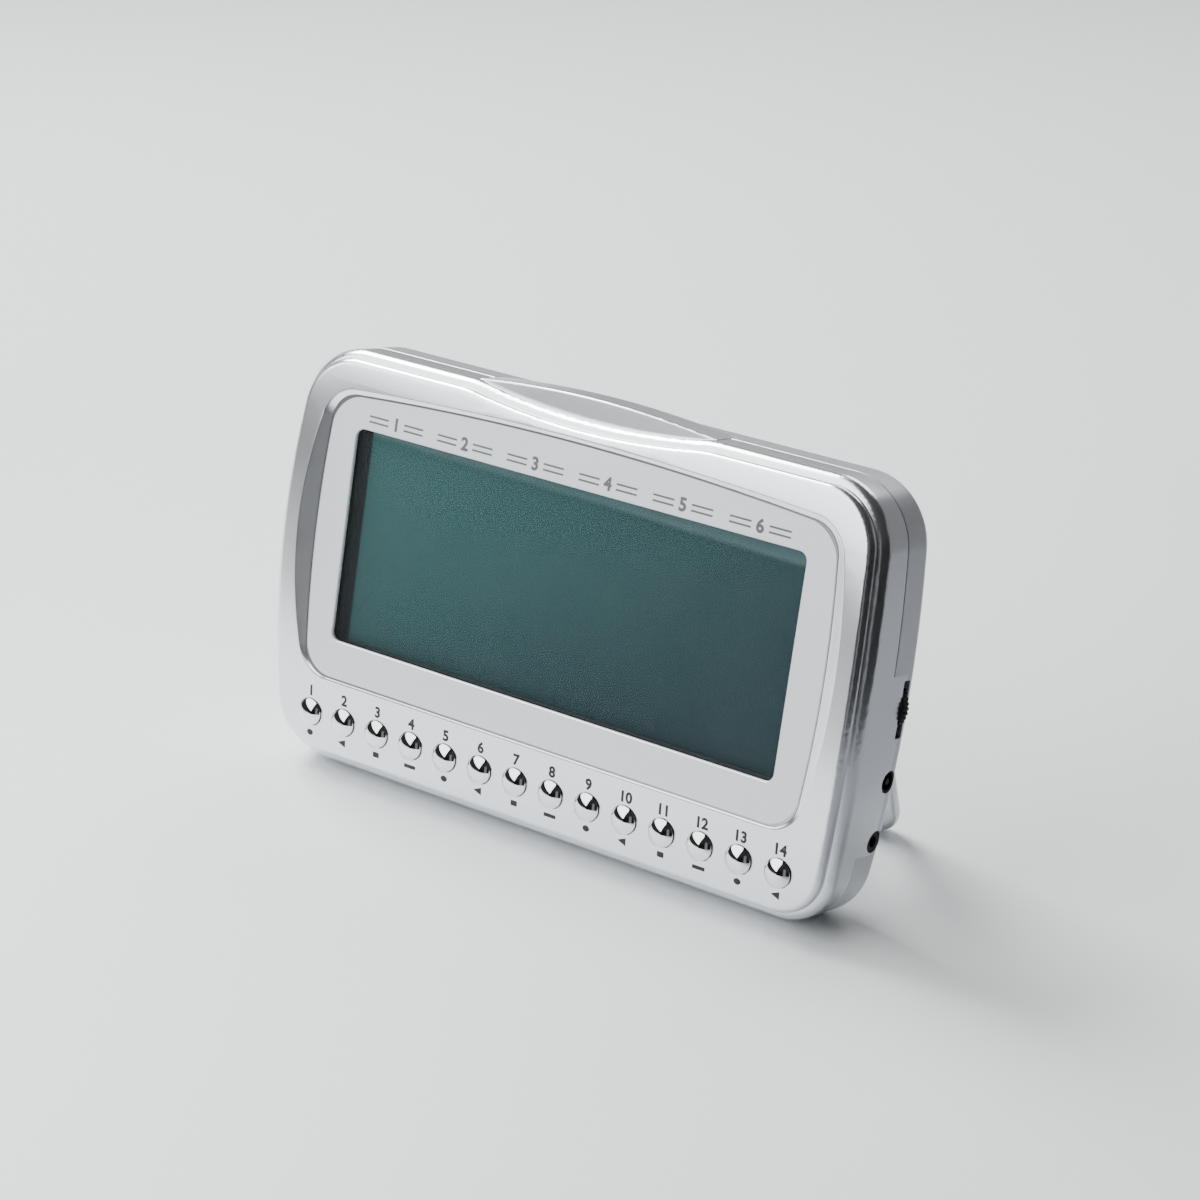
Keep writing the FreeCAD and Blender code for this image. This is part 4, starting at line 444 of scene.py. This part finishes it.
@dataclass(frozen=True)
class DisplayGlass:
    """Teal display beside a black border, darker to the lower right, with a painted reflection making
    it paler along the top.
    """

    name: str = "display_teal"
    light: Colour = (0.022, 0.086, 0.086)
    dark: Colour = (0.004, 0.023, 0.030)
    # colour of the painted reflection along the top
    band: Colour = (0.084, 0.158, 0.165)
    border: Colour = (0.004, 0.006, 0.010)
    half_width: float = 87.6 * MM
    half_height: float = 35.5 * MM
    left_border: float = 3.2 * MM
    low_border: float = -0.8 * MM
    border_soft: float = 0.6 * MM
    slant: Pair = (0.6, 0.4)
    drift_scale: float = 9.0
    drift_tone: float = 0.25
    drift_depth: float = 2.0 * MM
    band_depth: float = 3.6 * MM
    band_slope: float = 1.6 * MM
    band_soft: float = 1.2 * MM
    band_share: float = 0.75
    grain_scale: float = 1800.0
    grain_gloss: float = 0.02
    roughness: float = 0.32
    coat: float = 0.03
    coat_roughness: float = 0.12
    shine: float = 0.14
    strength: float = 0.005
    depth: float = 0.01 * MM

    def material(self) -> bpy.types.Material:
        """Build the material.

        Returns:
            The material.
        """
        shader = Shader(self.name)
        here = shader.upright()
        across, up = shader.split(here, "X", "Z")
        drift = shader.noise(self.drift_scale, 2.0, here)
        teal = self._teal(shader, across, up, drift)
        base = shader.blend(self._inside(across, up), self.border, teal)
        grain = shader.noise(self.grain_scale, 1.0)
        shader.set(Base_Color=base, Roughness=self.roughness + grain.swing(self.grain_gloss),
                   Coat_Weight=self.coat, Coat_Roughness=self.coat_roughness,
                   Specular_IOR_Level=self.shine)
        shader.relief(grain, self.strength, self.depth)
        return shader.material

    def _teal(self, shader: Shader, across: Flow, up: Flow, drift: Flow) -> Flow:
        """Colour of the display inside its border, with the painted reflection along the top.

        Args:
            shader: the material's shader.
            across: place to the right of the middle.
            up: place above the middle.
            drift: slow noise.

        Returns:
            The colour.
        """
        slanted = across * (self.slant[0] / self.half_width) - up * (self.slant[1] / self.half_height)
        darker = (slanted + drift.swing(self.drift_tone)).step(-1.0, 1.0)
        body = shader.blend(darker, self.light, self.dark)
        # painted reflection: a paler band along the top, standing for the panel's top lip mirrored in
        # the glass
        below = (self.half_height - up) + drift.swing(self.drift_depth)
        reach = across * (self.band_slope / self.half_width) + self.band_depth
        top = 1.0 - (below - reach).step(-self.band_soft, self.band_soft)
        return shader.blend(top * self.band_share, body, self.band)

    def _inside(self, across: Flow, up: Flow) -> Flow:
        """Share that is inside the border.

        Args:
            across: place to the right of the middle.
            up: place above the middle.

        Returns:
            1 inside and 0 on the border.
        """
        left = (across + (self.half_width - self.left_border)).step(-self.border_soft, self.border_soft)
        low = (up + (self.half_height - self.low_border)).step(-self.border_soft, self.border_soft)
        return left * low


@dataclass(frozen=True)
class ClearLens:
    """Thin clear window."""

    name: str = "clear_window"
    colour: Colour = (0.75, 0.85, 0.86)
    alpha: float = 0.015
    alpha_smear: float = 0.01
    roughness: float = 0.06
    smear_gloss: float = 0.03
    smear_scale: float = 25.0
    strength: float = 0.01
    depth: float = 0.05 * MM

    def material(self) -> bpy.types.Material:
        """Build the material.

        Returns:
            The material.
        """
        shader = Shader(self.name)
        smear = shader.noise(self.smear_scale, 2.0)
        shader.set(Base_Color=self.colour, Alpha=self.alpha + smear.swing(self.alpha_smear),
                   Roughness=self.roughness + smear * self.smear_gloss)
        shader.relief(smear, self.strength, self.depth)
        return shader.material


@dataclass(frozen=True)
class CircuitBoard:
    """Green solder mask over copper traces."""

    name: str = "solder_mask"
    mask: Colour = (0.010, 0.100, 0.040)
    trace: Colour = (0.030, 0.190, 0.080)
    turn: float = 1.2
    scale: float = 120.0
    offset: float = 0.5
    gap: float = 0.03
    roughness: float = 0.35
    trace_gloss: float = 0.1
    coat: float = 0.3
    strength: float = 0.15
    depth: float = 0.03 * MM

    def material(self) -> bpy.types.Material:
        """Build the material.

        Returns:
            The material.
        """
        shader = Shader(self.name)
        inputs = {"Vector": shader.place(self.turn), "Scale": self.scale, "Mortar Size": self.gap}
        traces = shader.flow(shader.node("ShaderNodeTexBrick", {"offset": self.offset}, inputs), "Fac")
        shader.set(Base_Color=shader.blend(traces, self.mask, self.trace),
                   Roughness=self.roughness + traces * self.trace_gloss, Coat_Weight=self.coat)
        shader.relief(traces, self.strength, self.depth)
        return shader.material


@dataclass(frozen=True)
class Ink:
    """Screen-printed ink."""

    name: str
    colour: Colour
    speck_scale: float = 5000.0
    speck_tone: Pair = (0.85, 1.25)
    roughness: float = 0.55
    speck_gloss: float = 0.1

    def material(self) -> bpy.types.Material:
        """Build the material.

        Returns:
            The material.
        """
        shader = Shader(self.name)
        speck = shader.noise(self.speck_scale, 2.0)
        base = shader.blend(speck, *(shade(self.colour, tone) for tone in self.speck_tone))
        shader.set(Base_Color=base, Roughness=self.roughness + speck.swing(self.speck_gloss))
        return shader.material


@dataclass(frozen=True)
class TableTop:
    """Pale matt table, which may carry a painted shadow to the right."""

    name: str
    darkens: bool
    colours: tuple[Colour, Colour] = ((0.925, 0.955, 0.965), (0.955, 0.98, 0.985))
    # colour of the painted shadow to the right, which only reflections see
    right: Colour = (0.26, 0.27, 0.29)
    right_range: Pair = (0.07, 0.17)
    cloud_scale: float = 1.6
    roughness: float = 0.6

    def material(self) -> bpy.types.Material:
        """Build the material.

        Returns:
            The material.
        """
        shader = Shader(self.name)
        base = shader.blend(shader.noise(self.cloud_scale, 2.0), *self.colours)
        if self.darkens:
            # painted shadow: the table darkens to the right, for the clock's shadow seen in reflections
            across, = shader.split(shader.place(), "X")
            base = shader.blend(across.step(*self.right_range), base, self.right)
        shader.set(Base_Color=base, Roughness=self.roughness)
        return shader.material


class Finish(Enum):
    """Finishes used on the clock."""

    FRONT = SatinPaint("front_silver", (0.87, 0.895, 0.935), 0.97, 0.23, 0.04, 0.06)
    PANEL = PanelPaint("panel_silver", (0.90, 0.93, 0.985), 0.35, 0.42, 0.035, 0.05)
    REAR = SatinPaint("rear_silver", (0.66, 0.675, 0.705), 0.80, 0.30, 0.05, 0.05)
    CHROME = BrightMetal("key_chrome", (0.90, 0.91, 0.925), 0.035, 0.03)
    STEEL = BrightMetal("zinc_steel", (0.60, 0.60, 0.62), 0.28, 0.12)
    BLACK = MouldedPlastic("black_plastic", (0.018, 0.018, 0.020), 0.42)
    DEEP_BLACK = MouldedPlastic("deep_black", (0.006, 0.006, 0.008), 0.62)
    SURROUND = MouldedPlastic("surround_black", (0.005, 0.012, 0.014), 0.6)
    RUBBER = MouldedPlastic("dark_rubber", (0.045, 0.045, 0.048), 0.65, 0.0, 900.0)
    PAPER = MouldedPlastic("cone_paper", (0.035, 0.032, 0.030), 0.85, 0.0, 700.0, 0.08 * MM, 0.4)
    FERRITE = MouldedPlastic("magnet_ferrite", (0.06, 0.06, 0.065), 0.6, 0.2, 800.0, 0.05 * MM, 0.3)
    CELL = BrightMetal("cell_sleeve", (0.42, 0.46, 0.52), 0.30, 0.10)
    RIBBON = MouldedPlastic("ribbon_film", (0.62, 0.62, 0.58), 0.45)
    BOARD = CircuitBoard()
    GLASS = DisplayGlass()
    LENS = ClearLens()
    PRINT = Ink("print_black", (0.014, 0.014, 0.016))
    PRINT_GREY = Ink("print_grey", (0.12, 0.125, 0.14))

    def material(self) -> bpy.types.Material:
        """Build this finish once and hand out the same material afterwards."""
        made = bpy.data.materials.get(self.value.name)
        return made or self.value.material()


# ------------------------------------------------------------------ where the clock stands


@dataclass(frozen=True)
class Stance:
    """How the upright clock is leant back and set on the table."""

    lean: float = math.radians(13.0)
    shift: Triple = (-0.63555 * MM, -25.36475 * MM, 81.20221 * MM)

    def matrix(self) -> Matrix:
        """Matrix from the upright face's frame to the standing clock's frame."""
        return Matrix.Translation(self.shift) @ Matrix.Rotation(-self.lean, 4, "X")

    def unshift(self) -> Triple:
        """Shift that a Mapping node adds, after its turn, to come back to the upright frame."""
        back = Matrix.Rotation(self.lean, 3, "X") @ Vector(self.shift)
        return (-back.x, -back.y, -back.z)


# ------------------------------------------------------------------ making pieces


@dataclass
class Workshop:
    """Turns bmeshes and CAD nodes into finished pieces that ride on their bodies."""

    frame: dict
    stance: Stance = field(default_factory=Stance)
    merge: float = 0.001 * MM
    fine_merge: float = 0.0001 * MM
    normal_weight: int = 50

    def finish(self, name: str, mesh: bmesh.types.BMesh, finish: Finish, body: str = "housing",
               slot: str | None = None, nodes: tuple[str, ...] = (), sharp: float = 35.0,
               upright: bool = True) -> bpy.types.Object:
        """Make an object from a bmesh, dress it and let it ride.

        Args:
            name: piece name.
            mesh: shape, used up by this call.
            finish: its finish.
            body: body that it rides on.
            slot: the record's material slot, not used.
            nodes: CAD nodes that it stands for.
            sharp: angle in degrees past which an edge stays sharp.
            upright: whether the shape is in the upright frame.

        Returns:
            The piece.
        """
        if upright:
            bmesh.ops.transform(mesh, matrix=self.stance.matrix(), verts=mesh.verts)
        limit = math.radians(sharp)
        for face in mesh.faces:
            face.smooth = True
        for edge in mesh.edges:
            edge.smooth = not (edge.is_manifold and edge.calc_face_angle(0.0) > limit)
        data = bpy.data.meshes.new(name)
        mesh.to_mesh(data)
        mesh.free()
        piece = bpy.data.objects.new(name, data)
        bpy.context.scene.collection.objects.link(piece)
        data.materials.append(finish.material())
        weighted = piece.modifiers.new("weighted", "WEIGHTED_NORMAL")
        weighted.keep_sharp = True
        weighted.weight = self.normal_weight
        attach(piece, body)
        if nodes:
            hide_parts(*nodes)
        LOG.info("%s rides on %s", name, body)
        return piece

    def smooth_copy(self, finish: Finish, *nodes: str, sharp: float = 28.0) -> None:
        """Make merged, smoothly shaded copies of CAD nodes that stand for them.

        Args:
            finish: their finish.
            nodes: names of the CAD nodes.
            sharp: angle in degrees past which an edge stays sharp.
        """
        slots = {part["node"]: part["material_slot"] for part in self.frame["record"]["subparts"]}
        for node in nodes:
            source = self.frame["nodes"][node]
            mesh = bmesh.new()
            mesh.from_mesh(source.data)
            bmesh.ops.remove_doubles(mesh, verts=mesh.verts, dist=self.merge)
            self.finish(f"{node}_skin", mesh, finish, source["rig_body"], slots[node], (node,), sharp,
                        upright=False)

    def dress(self, finish: Finish, *nodes: str) -> None:
        """Give CAD nodes a finish without changing their meshes.

        Args:
            finish: their finish.
            nodes: names of the CAD nodes.
        """
        for node in nodes:
            materials = self.frame["nodes"][node].data.materials
            materials.clear()
            materials.append(finish.material())
            LOG.info("%s dressed", node)


# ------------------------------------------------------------------ sub-assemblies


@dataclass
class KeyRow:
    """Fourteen chrome keys with domed caps."""

    shop: Workshop
    count: int = 14
    pitch: float = 14.4 * MM
    shift: float = 0.15 * MM
    level: float = -62.0 * MM
    radius: float = 4.55 * MM
    dome: float = 1.6 * MM
    rise: float = 0.9 * MM
    field_depth: float = 1.2603 * MM
    flange: float = 5.6 * MM
    flange_front: float = 3.2 * MM
    flange_back: float = 4.2 * MM
    stem: float = 1.5 * MM
    stem_back: float = 6.2 * MM
    arc_steps: int = 14
    turn_steps: int = 64
    sharp: float = 40.0

    def across(self, number: int) -> float:
        """Place of a key along the row."""
        return self.shift + (number - (self.count - 1) / 2) * self.pitch

    def build(self) -> None:
        """Make every key."""
        for number in range(self.count):
            self._cap(number)

    def _cap(self, number: int) -> None:
        """Spin one cap from its half section.

        Args:
            number: place in the row, from 0 at the left.
        """
        mesh = bmesh.new()
        self._section(mesh)
        bmesh.ops.spin(mesh, geom=mesh.verts[:] + mesh.edges[:], cent=ORIGIN, axis=(0.0, 1.0, 0.0),
                       angle=2 * math.pi, steps=self.turn_steps, use_merge=True, use_duplicate=False)
        bmesh.ops.remove_doubles(mesh, verts=mesh.verts, dist=self.shop.fine_merge)
        bmesh.ops.recalc_face_normals(mesh, faces=mesh.faces)
        bmesh.ops.translate(mesh, verts=mesh.verts, vec=(self.across(number), 0.0, self.level))
        label = f"button_{number + 1:02d}"
        self.shop.finish(f"{label}_cap", mesh, Finish.CHROME, label, "chrome_cap", (label,), self.sharp)

    def _section(self, mesh: bmesh.types.BMesh) -> None:
        """Draw the half section: the dome's arc, the skirt, the flange and the stem.

        Args:
            mesh: mesh to draw in.
        """
        rim = self.field_depth - self.rise
        ball = (self.radius ** 2 + self.dome ** 2) / (2 * self.dome)
        spread = math.asin(self.radius / ball)
        apex = mesh.verts.new((0.0, rim - self.dome, 0.0))
        arc = bmesh.ops.spin(mesh, geom=[apex], cent=(0.0, rim - self.dome + ball, 0.0),
                             axis=(0.0, 0.0, 1.0), angle=spread, steps=self.arc_steps,
                             use_duplicate=False)
        edge = next(item for item in arc["geom_last"] if isinstance(item, bmesh.types.BMVert))
        for out, back in ((self.radius, self.flange_front), (self.flange, self.flange_front),
                          (self.flange, self.flange_back), (self.stem, self.flange_back),
                          (self.stem, self.stem_back), (0.0, self.stem_back)):
            grown = bmesh.ops.extrude_vert_indiv(mesh, verts=[edge])
            edge = grown["verts"][0]
            edge.co = (out, rim + back, 0.0)
        for vert in mesh.verts:
            vert.co.x = abs(vert.co.x)


class Mark(Enum):
    """Plain marks under the keys: corners, radius in millimetres, stretch, and turn in degrees."""

    DOT = (24, 1.3, 1.0, 0.0)
    TRIANGLE = (3, 1.9, 1.1, 90.0)
    SQUARE = (4, 1.6, 1.1, 45.0)
    BAR = (4, 1.1, 3.0, 45.0)


@dataclass
class Legend:
    """Printed numbers and plain marks: over and under the keys, and along the top of the panel."""

    shop: Workshop
    keys: KeyRow
    crown_radius: float = 500.0 * MM
    crown_middle: float = 2.5 * MM
    ring_rise: float = 2.9 * MM
    ink: float = 0.03 * MM
    digit_share: float = 0.69
    boldness: float = 0.055
    curve_steps: int = 6
    number_rise: float = 7.3 * MM
    number_height: float = 3.4 * MM
    mark_drop: float = 7.2 * MM
    mark_squash: float = 0.8
    times: int = 6
    times_pitch: float = 28.3 * MM
    times_middle: float = -0.8 * MM
    times_level: float = 39.4 * MM
    times_height: float = 4.0 * MM
    rule_row: float = 0.9 * MM
    rule_middle: float = 7.2 * MM
    rule_size: Pair = (5.6 * MM, 0.42 * MM)

    def build(self) -> None:
        """Print every legend."""
        for number in range(self.keys.count):
            across = self.keys.across(number)
            self._number(f"key_number_{number + 1:02d}", number + 1, self.number_height,
                         (across, self.keys.level + self.number_rise), self.ring_rise, Finish.PRINT)
            self._mark(f"key_mark_{number + 1:02d}", tuple(Mark)[number % len(Mark)],
                       (across, self.keys.level - self.mark_drop))
        for number in range(self.times):
            across = self.times_middle + (number - (self.times - 1) / 2) * self.times_pitch
            place = (across, self.times_level)
            self._number(f"time_number_{number + 1}", number + 1, self.times_height, place, None,
                         Finish.PRINT_GREY)
            self._rules(f"time_rules_{number + 1}", place)

    def _depth(self, level: float, rise: float | None) -> float:
        """Depth of the surface that carries a legend.

        Args:
            level: height on the face.
            rise: how far the crowned surface stands before the panel, or None on the flat panel.

        Returns:
            Distance behind the panel's face.
        """
        if rise is None:
            return 0.0
        away = level - self.crown_middle
        return self.crown_radius - math.sqrt(self.crown_radius ** 2 - away ** 2) - rise

    def _print(self, name: str, mesh: bmesh.types.BMesh, place: Pair, rise: float | None,
               finish: Finish) -> None:
        """Lay a flat drawing on its surface as a thin coat of ink.

        Args:
            name: piece name.
            mesh: drawing in the XY plane, used up by this call.
            place: where its middle goes, across and up.
            rise: how far the crowned surface stands before the panel, or None on the flat panel.
            finish: ink.
        """
        grown = bmesh.ops.extrude_face_region(mesh, geom=mesh.faces[:])
        back = {item for item in grown["geom"] if isinstance(item, bmesh.types.BMVert)}
        for vert in mesh.verts:
            across, level = place[0] + vert.co.x, place[1] + vert.co.y
            sink = self.ink if vert in back else -self.ink
            vert.co = (across, self._depth(level, rise) + sink, level)
        bmesh.ops.recalc_face_normals(mesh, faces=mesh.faces)
        self.shop.finish(name, mesh, finish)

    def _number(self, name: str, value: int, height: float, place: Pair, rise: float | None,
                finish: Finish) -> None:
        """Print a plain number.

        Args:
            name: piece name.
            value: the number.
            height: height of its digits.
            place: where its middle goes, across and up.
            rise: how far the crowned surface stands before the panel, or None on the flat panel.
            finish: ink.
        """
        curve = bpy.data.curves.new(name, "FONT")
        curve.body = str(value)
        curve.size = height / self.digit_share
        curve.align_x = "CENTER"
        curve.align_y = "CENTER"
        curve.offset = self.boldness * height
        curve.resolution_u = self.curve_steps
        holder = bpy.data.objects.new(f"{name}_text", curve)
        drawing = bpy.data.meshes.new_from_object(holder)
        mesh = bmesh.new()
        mesh.from_mesh(drawing)
        bpy.data.objects.remove(holder)
        bpy.data.curves.remove(curve)
        bpy.data.meshes.remove(drawing)
        bmesh.ops.remove_doubles(mesh, verts=mesh.verts, dist=self.shop.merge)
        self._print(name, mesh, place, rise, finish)

    def _shape(self, mesh: bmesh.types.BMesh, corners: int, radius: float, turn: float,
               size: Pair) -> list[bmesh.types.BMVert]:
        """Draw a regular shape, turned and then stretched.

        Args:
            mesh: mesh to draw in.
            corners: number of corners.
            radius: radius before the stretch.
            turn: turn in degrees.
            size: stretch across and up.

        Returns:
            Its vertices.
        """
        verts = bmesh.ops.create_circle(mesh, cap_ends=True, segments=corners, radius=radius)["verts"]
        turned = Matrix.Rotation(math.radians(turn), 3, "Z")
        bmesh.ops.rotate(mesh, verts=verts, cent=ORIGIN, matrix=turned)
        bmesh.ops.scale(mesh, verts=verts, vec=(*size, 1.0))
        return verts

    def _mark(self, name: str, mark: Mark, place: Pair) -> None:
        """Print a plain mark.

        Args:
            name: piece name.
            mark: its kind.
            place: where its middle goes, across and up.
        """
        corners, radius, stretch, turn = mark.value
        mesh = bmesh.new()
        self._shape(mesh, corners, radius * MM, turn, (stretch, self.mark_squash))
        self._print(name, mesh, place, self.ring_rise, Finish.PRINT)

    def _rules(self, name: str, place: Pair) -> None:
        """Print a short double rule at each side of a time's number.

        Args:
            name: piece name.
            place: the number's place, across and up.
        """
        mesh = bmesh.new()
        for side in (-1.0, 1.0):
            for row in (-1.0, 1.0):
                verts = self._shape(mesh, 4, 1.0, 45.0, self.rule_size)
                away = (side * self.rule_middle, row * self.rule_row, 0.0)
                bmesh.ops.translate(mesh, verts=verts, vec=away)
        self._print(name, mesh, place, None, Finish.PRINT_GREY)


@dataclass
class Housing:
    """Front frame, rear cover and their fixings."""

    shop: Workshop

    def build(self) -> None:
        """Dress the housing."""
        self.shop.smooth_copy(Finish.FRONT, "front_frame")
        self.shop.smooth_copy(Finish.REAR, "rear_cover")
        self.shop.smooth_copy(Finish.STEEL, "housing_screws")


@dataclass
class Display:
    """Panel, lens, glass and what holds them."""

    shop: Workshop

    def build(self) -> None:
        """Dress the display."""
        self.shop.smooth_copy(Finish.PANEL, "display_panel")
        self.shop.smooth_copy(Finish.LENS, "display_lens")
        self.shop.dress(Finish.GLASS, "lcd_glass")
        self.shop.dress(Finish.SURROUND, "display_surround")
        self.shop.dress(Finish.RUBBER, "zebra_strips")
        self.shop.dress(Finish.BOARD, "main_board")
        self.shop.dress(Finish.STEEL, "board_screws")
        self.shop.dress(Finish.RIBBON, "ribbon")


@dataclass
class Controls:
    """Snooze bar, volume wheel, sockets and the boards behind them."""

    shop: Workshop

    def build(self) -> None:
        """Dress the controls."""
        self.shop.smooth_copy(Finish.FRONT, "snooze_bar")
        self.shop.smooth_copy(Finish.DEEP_BLACK, "volume_wheel", "power_jack", "audio_jack")
        self.shop.dress(Finish.BLACK, "snooze_switches", "key_switches", "volume_pot")
        self.shop.dress(Finish.BOARD, "snooze_board", "key_board", "side_board")


@dataclass
class Back:
    """Loudspeaker, cells, battery door and stand."""

    shop: Workshop

    def build(self) -> None:
        """Dress the back."""
        self.shop.smooth_copy(Finish.REAR, "battery_door", "stand")
        self.shop.smooth_copy(Finish.CELL, "batteries")
        self.shop.smooth_copy(Finish.PAPER, "speaker_cone")
        self.shop.dress(Finish.FERRITE, "speaker_magnet")
        self.shop.dress(Finish.STEEL, "speaker_basket", "battery_springs", "battery_contacts")


# ------------------------------------------------------------------ studio


@dataclass(frozen=True)
class Patch:
    """A soft-edged patch of the surroundings, by direction seen from the clock.

    Azimuth runs in degrees from the face's normal towards the clock's right, and elevation
    from the table up.
    """

    azimuth: float
    elevation: float
    half_width: float
    half_height: float
    soft: float
    level: float
    tint: Colour = (1.0, 1.005, 1.02)


@dataclass(frozen=True)
class SoftBox:
    """A rectangular soft light that the camera doesn't see."""

    name: str
    place: Triple
    aim: Triple
    size: Pair
    power: float

    def hang(self) -> None:
        """Add the light."""
        data = bpy.data.lights.new(self.name, "AREA")
        data.shape = "RECTANGLE"
        data.size, data.size_y = self.size
        data.energy = self.power
        box = bpy.data.objects.new(self.name, data)
        box.location = self.place
        box.rotation_euler = (Vector(self.aim) - Vector(self.place)).to_track_quat("-Z", "Y").to_euler()
        box.visible_camera = False
        bpy.context.scene.collection.objects.link(box)


@dataclass(frozen=True)
class Table:
    """A layer of the table: the wide one for the eye, or the shorter one that shiny surfaces mirror."""

    name: str
    near: bool
    size: float = 4.0
    edge: Pair = (0.34, -0.38)
    lift: float = 0.2 * MM

    def lay(self) -> None:
        """Add the layer."""
        mesh = bmesh.new()
        bmesh.ops.create_grid(mesh, x_segments=1, y_segments=1, size=self.size)
        if self.near:
            right, front = self.edge
            shift = (right - self.size, front + self.size, self.lift)
            bmesh.ops.translate(mesh, verts=mesh.verts, vec=shift)
        data = bpy.data.meshes.new(self.name)
        mesh.to_mesh(data)
        mesh.free()
        table = bpy.data.objects.new(self.name, data)
        table.visible_glossy = self.near
        table.visible_camera = not self.near
        table.visible_diffuse = not self.near
        table.visible_shadow = not self.near
        table.visible_transmission = not self.near
        bpy.context.scene.collection.objects.link(table)
        data.materials.append(TableTop(f"{self.name}_top", self.near).material())


class Surroundings(Graph):
    """World that lights the scene from patches of brightness."""

    def __init__(self, level: float) -> None:
        """Start a world of one brightness.

        Args:
            level: the brightness.
        """
        world = bpy.data.worlds.new("surroundings")
        world.use_nodes = True
        super().__init__(world.node_tree)
        bpy.context.scene.world = world
        where = self.coordinates("Generated")
        self.heading = self._vector("NORMALIZE", self._vector("MULTIPLY", where, (1.0, 1.0, 0.0)))
        height, = self.split(where, "Z")
        self.climb = height.arc()
        self.colour: Flow | Colour = (level, level, level)

    def _vector(self, operation: str, first: Flow, second: Triple = ORIGIN,
                output: str = "Vector") -> Flow:
        """Add one Vector Math node and give one of its outputs."""
        node = self.node("ShaderNodeVectorMath", {"operation": operation}, {0: first, 1: second})
        return self.flow(node, output)

    def add(self, patch: Patch) -> None:
        """Blend a patch over what is there.

        Args:
            patch: the patch.
        """
        turn = math.radians(patch.azimuth)
        way = (math.sin(turn), -math.cos(turn), 0.0)
        towards = self._vector("DOT_PRODUCT", self.heading, way, "Value")
        inner = math.cos(math.radians(max(0.0, patch.half_width - patch.soft)))
        outer = math.cos(math.radians(min(180.0, patch.half_width + patch.soft)))
        mask = towards.step(outer, inner) if patch.half_width < 180.0 else 1.0
        off = (self.climb - math.radians(patch.elevation)).magnitude()
        half, soft = math.radians(patch.half_height), math.radians(patch.soft)
        share = (1.0 - off.step(half - soft, half + soft)) * mask
        self.colour = self.blend(share, self.colour, shade(patch.tint, patch.level))

    def close(self) -> None:
        """Join the colour to the background."""
        self.feed(self.tree.nodes["Background"].inputs["Color"], self.colour)


@dataclass
class Studio:
    """Pale table, soft lights and the camera."""

    eye: Triple = (0.579719, -0.767283, 0.486177)
    turn: Triple = (1.164243, -0.000722, 0.649652)
    lens: float = 99.0
    sensor: float = 36.0
    gloom: float = 0.03
    tables: tuple[Table, ...] = (Table("table", False), Table("table_near", True))
    patches: tuple[Patch, ...] = (
        Patch(0.0, -45.0, 180.0, 45.5, 1.5, 0.74),
        Patch(-150.0, 12.0, 48.0, 20.0, 8.0, 0.46),
        Patch(-112.0, 4.0, 24.0, 14.0, 6.0, 0.60),
        Patch(150.0, 5.0, 45.0, 26.0, 8.0, 0.22),
        Patch(50.0, -3.0, 66.0, 24.0, 3.0, 0.012),
        Patch(23.0, 0.0, 5.0, 30.0, 4.0, 0.22),
    )
    boxes: tuple[SoftBox, ...] = (
        SoftBox("key_box", (-0.95, 0.22, 1.20), ORIGIN, (0.7, 0.7), 35.0),
        SoftBox("card", (-0.19, -0.50, 0.66), (0.74, -0.23, 0.41), (0.86, 0.94), 9.0),
        SoftBox("fill", (-0.15, 1.20, 1.10), (0.0, 0.1, 0.0), (0.9, 0.9), 8.0),
    )

    def build(self) -> None:
        """Set up the studio."""
        for table in self.tables:
            table.lay()
        self._camera()
        surroundings = Surroundings(self.gloom)
        for patch in self.patches:
            surroundings.add(patch)
        surroundings.close()
        for box in self.boxes:
            box.hang()

    def _camera(self) -> None:
        """Set the camera at the viewing angle."""
        data = bpy.data.cameras.new("view")
        data.lens = self.lens
        data.sensor_width = self.sensor
        camera = bpy.data.objects.new("view", data)
        camera.location = self.eye
        camera.rotation_euler = self.turn
        bpy.context.scene.collection.objects.link(camera)
        bpy.context.scene.camera = camera


def main() -> None:
    """Build the dressed clock and its studio."""
    logging.basicConfig(level=logging.INFO, format="%(message)s")
    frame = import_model()
    shop = Workshop(frame)
    keys = KeyRow(shop)
    for part in (Housing(shop), Display(shop), keys, Legend(shop, keys), Controls(shop), Back(shop)):
        part.build()
    Studio().build()


if __name__ == "__main__":
    main()
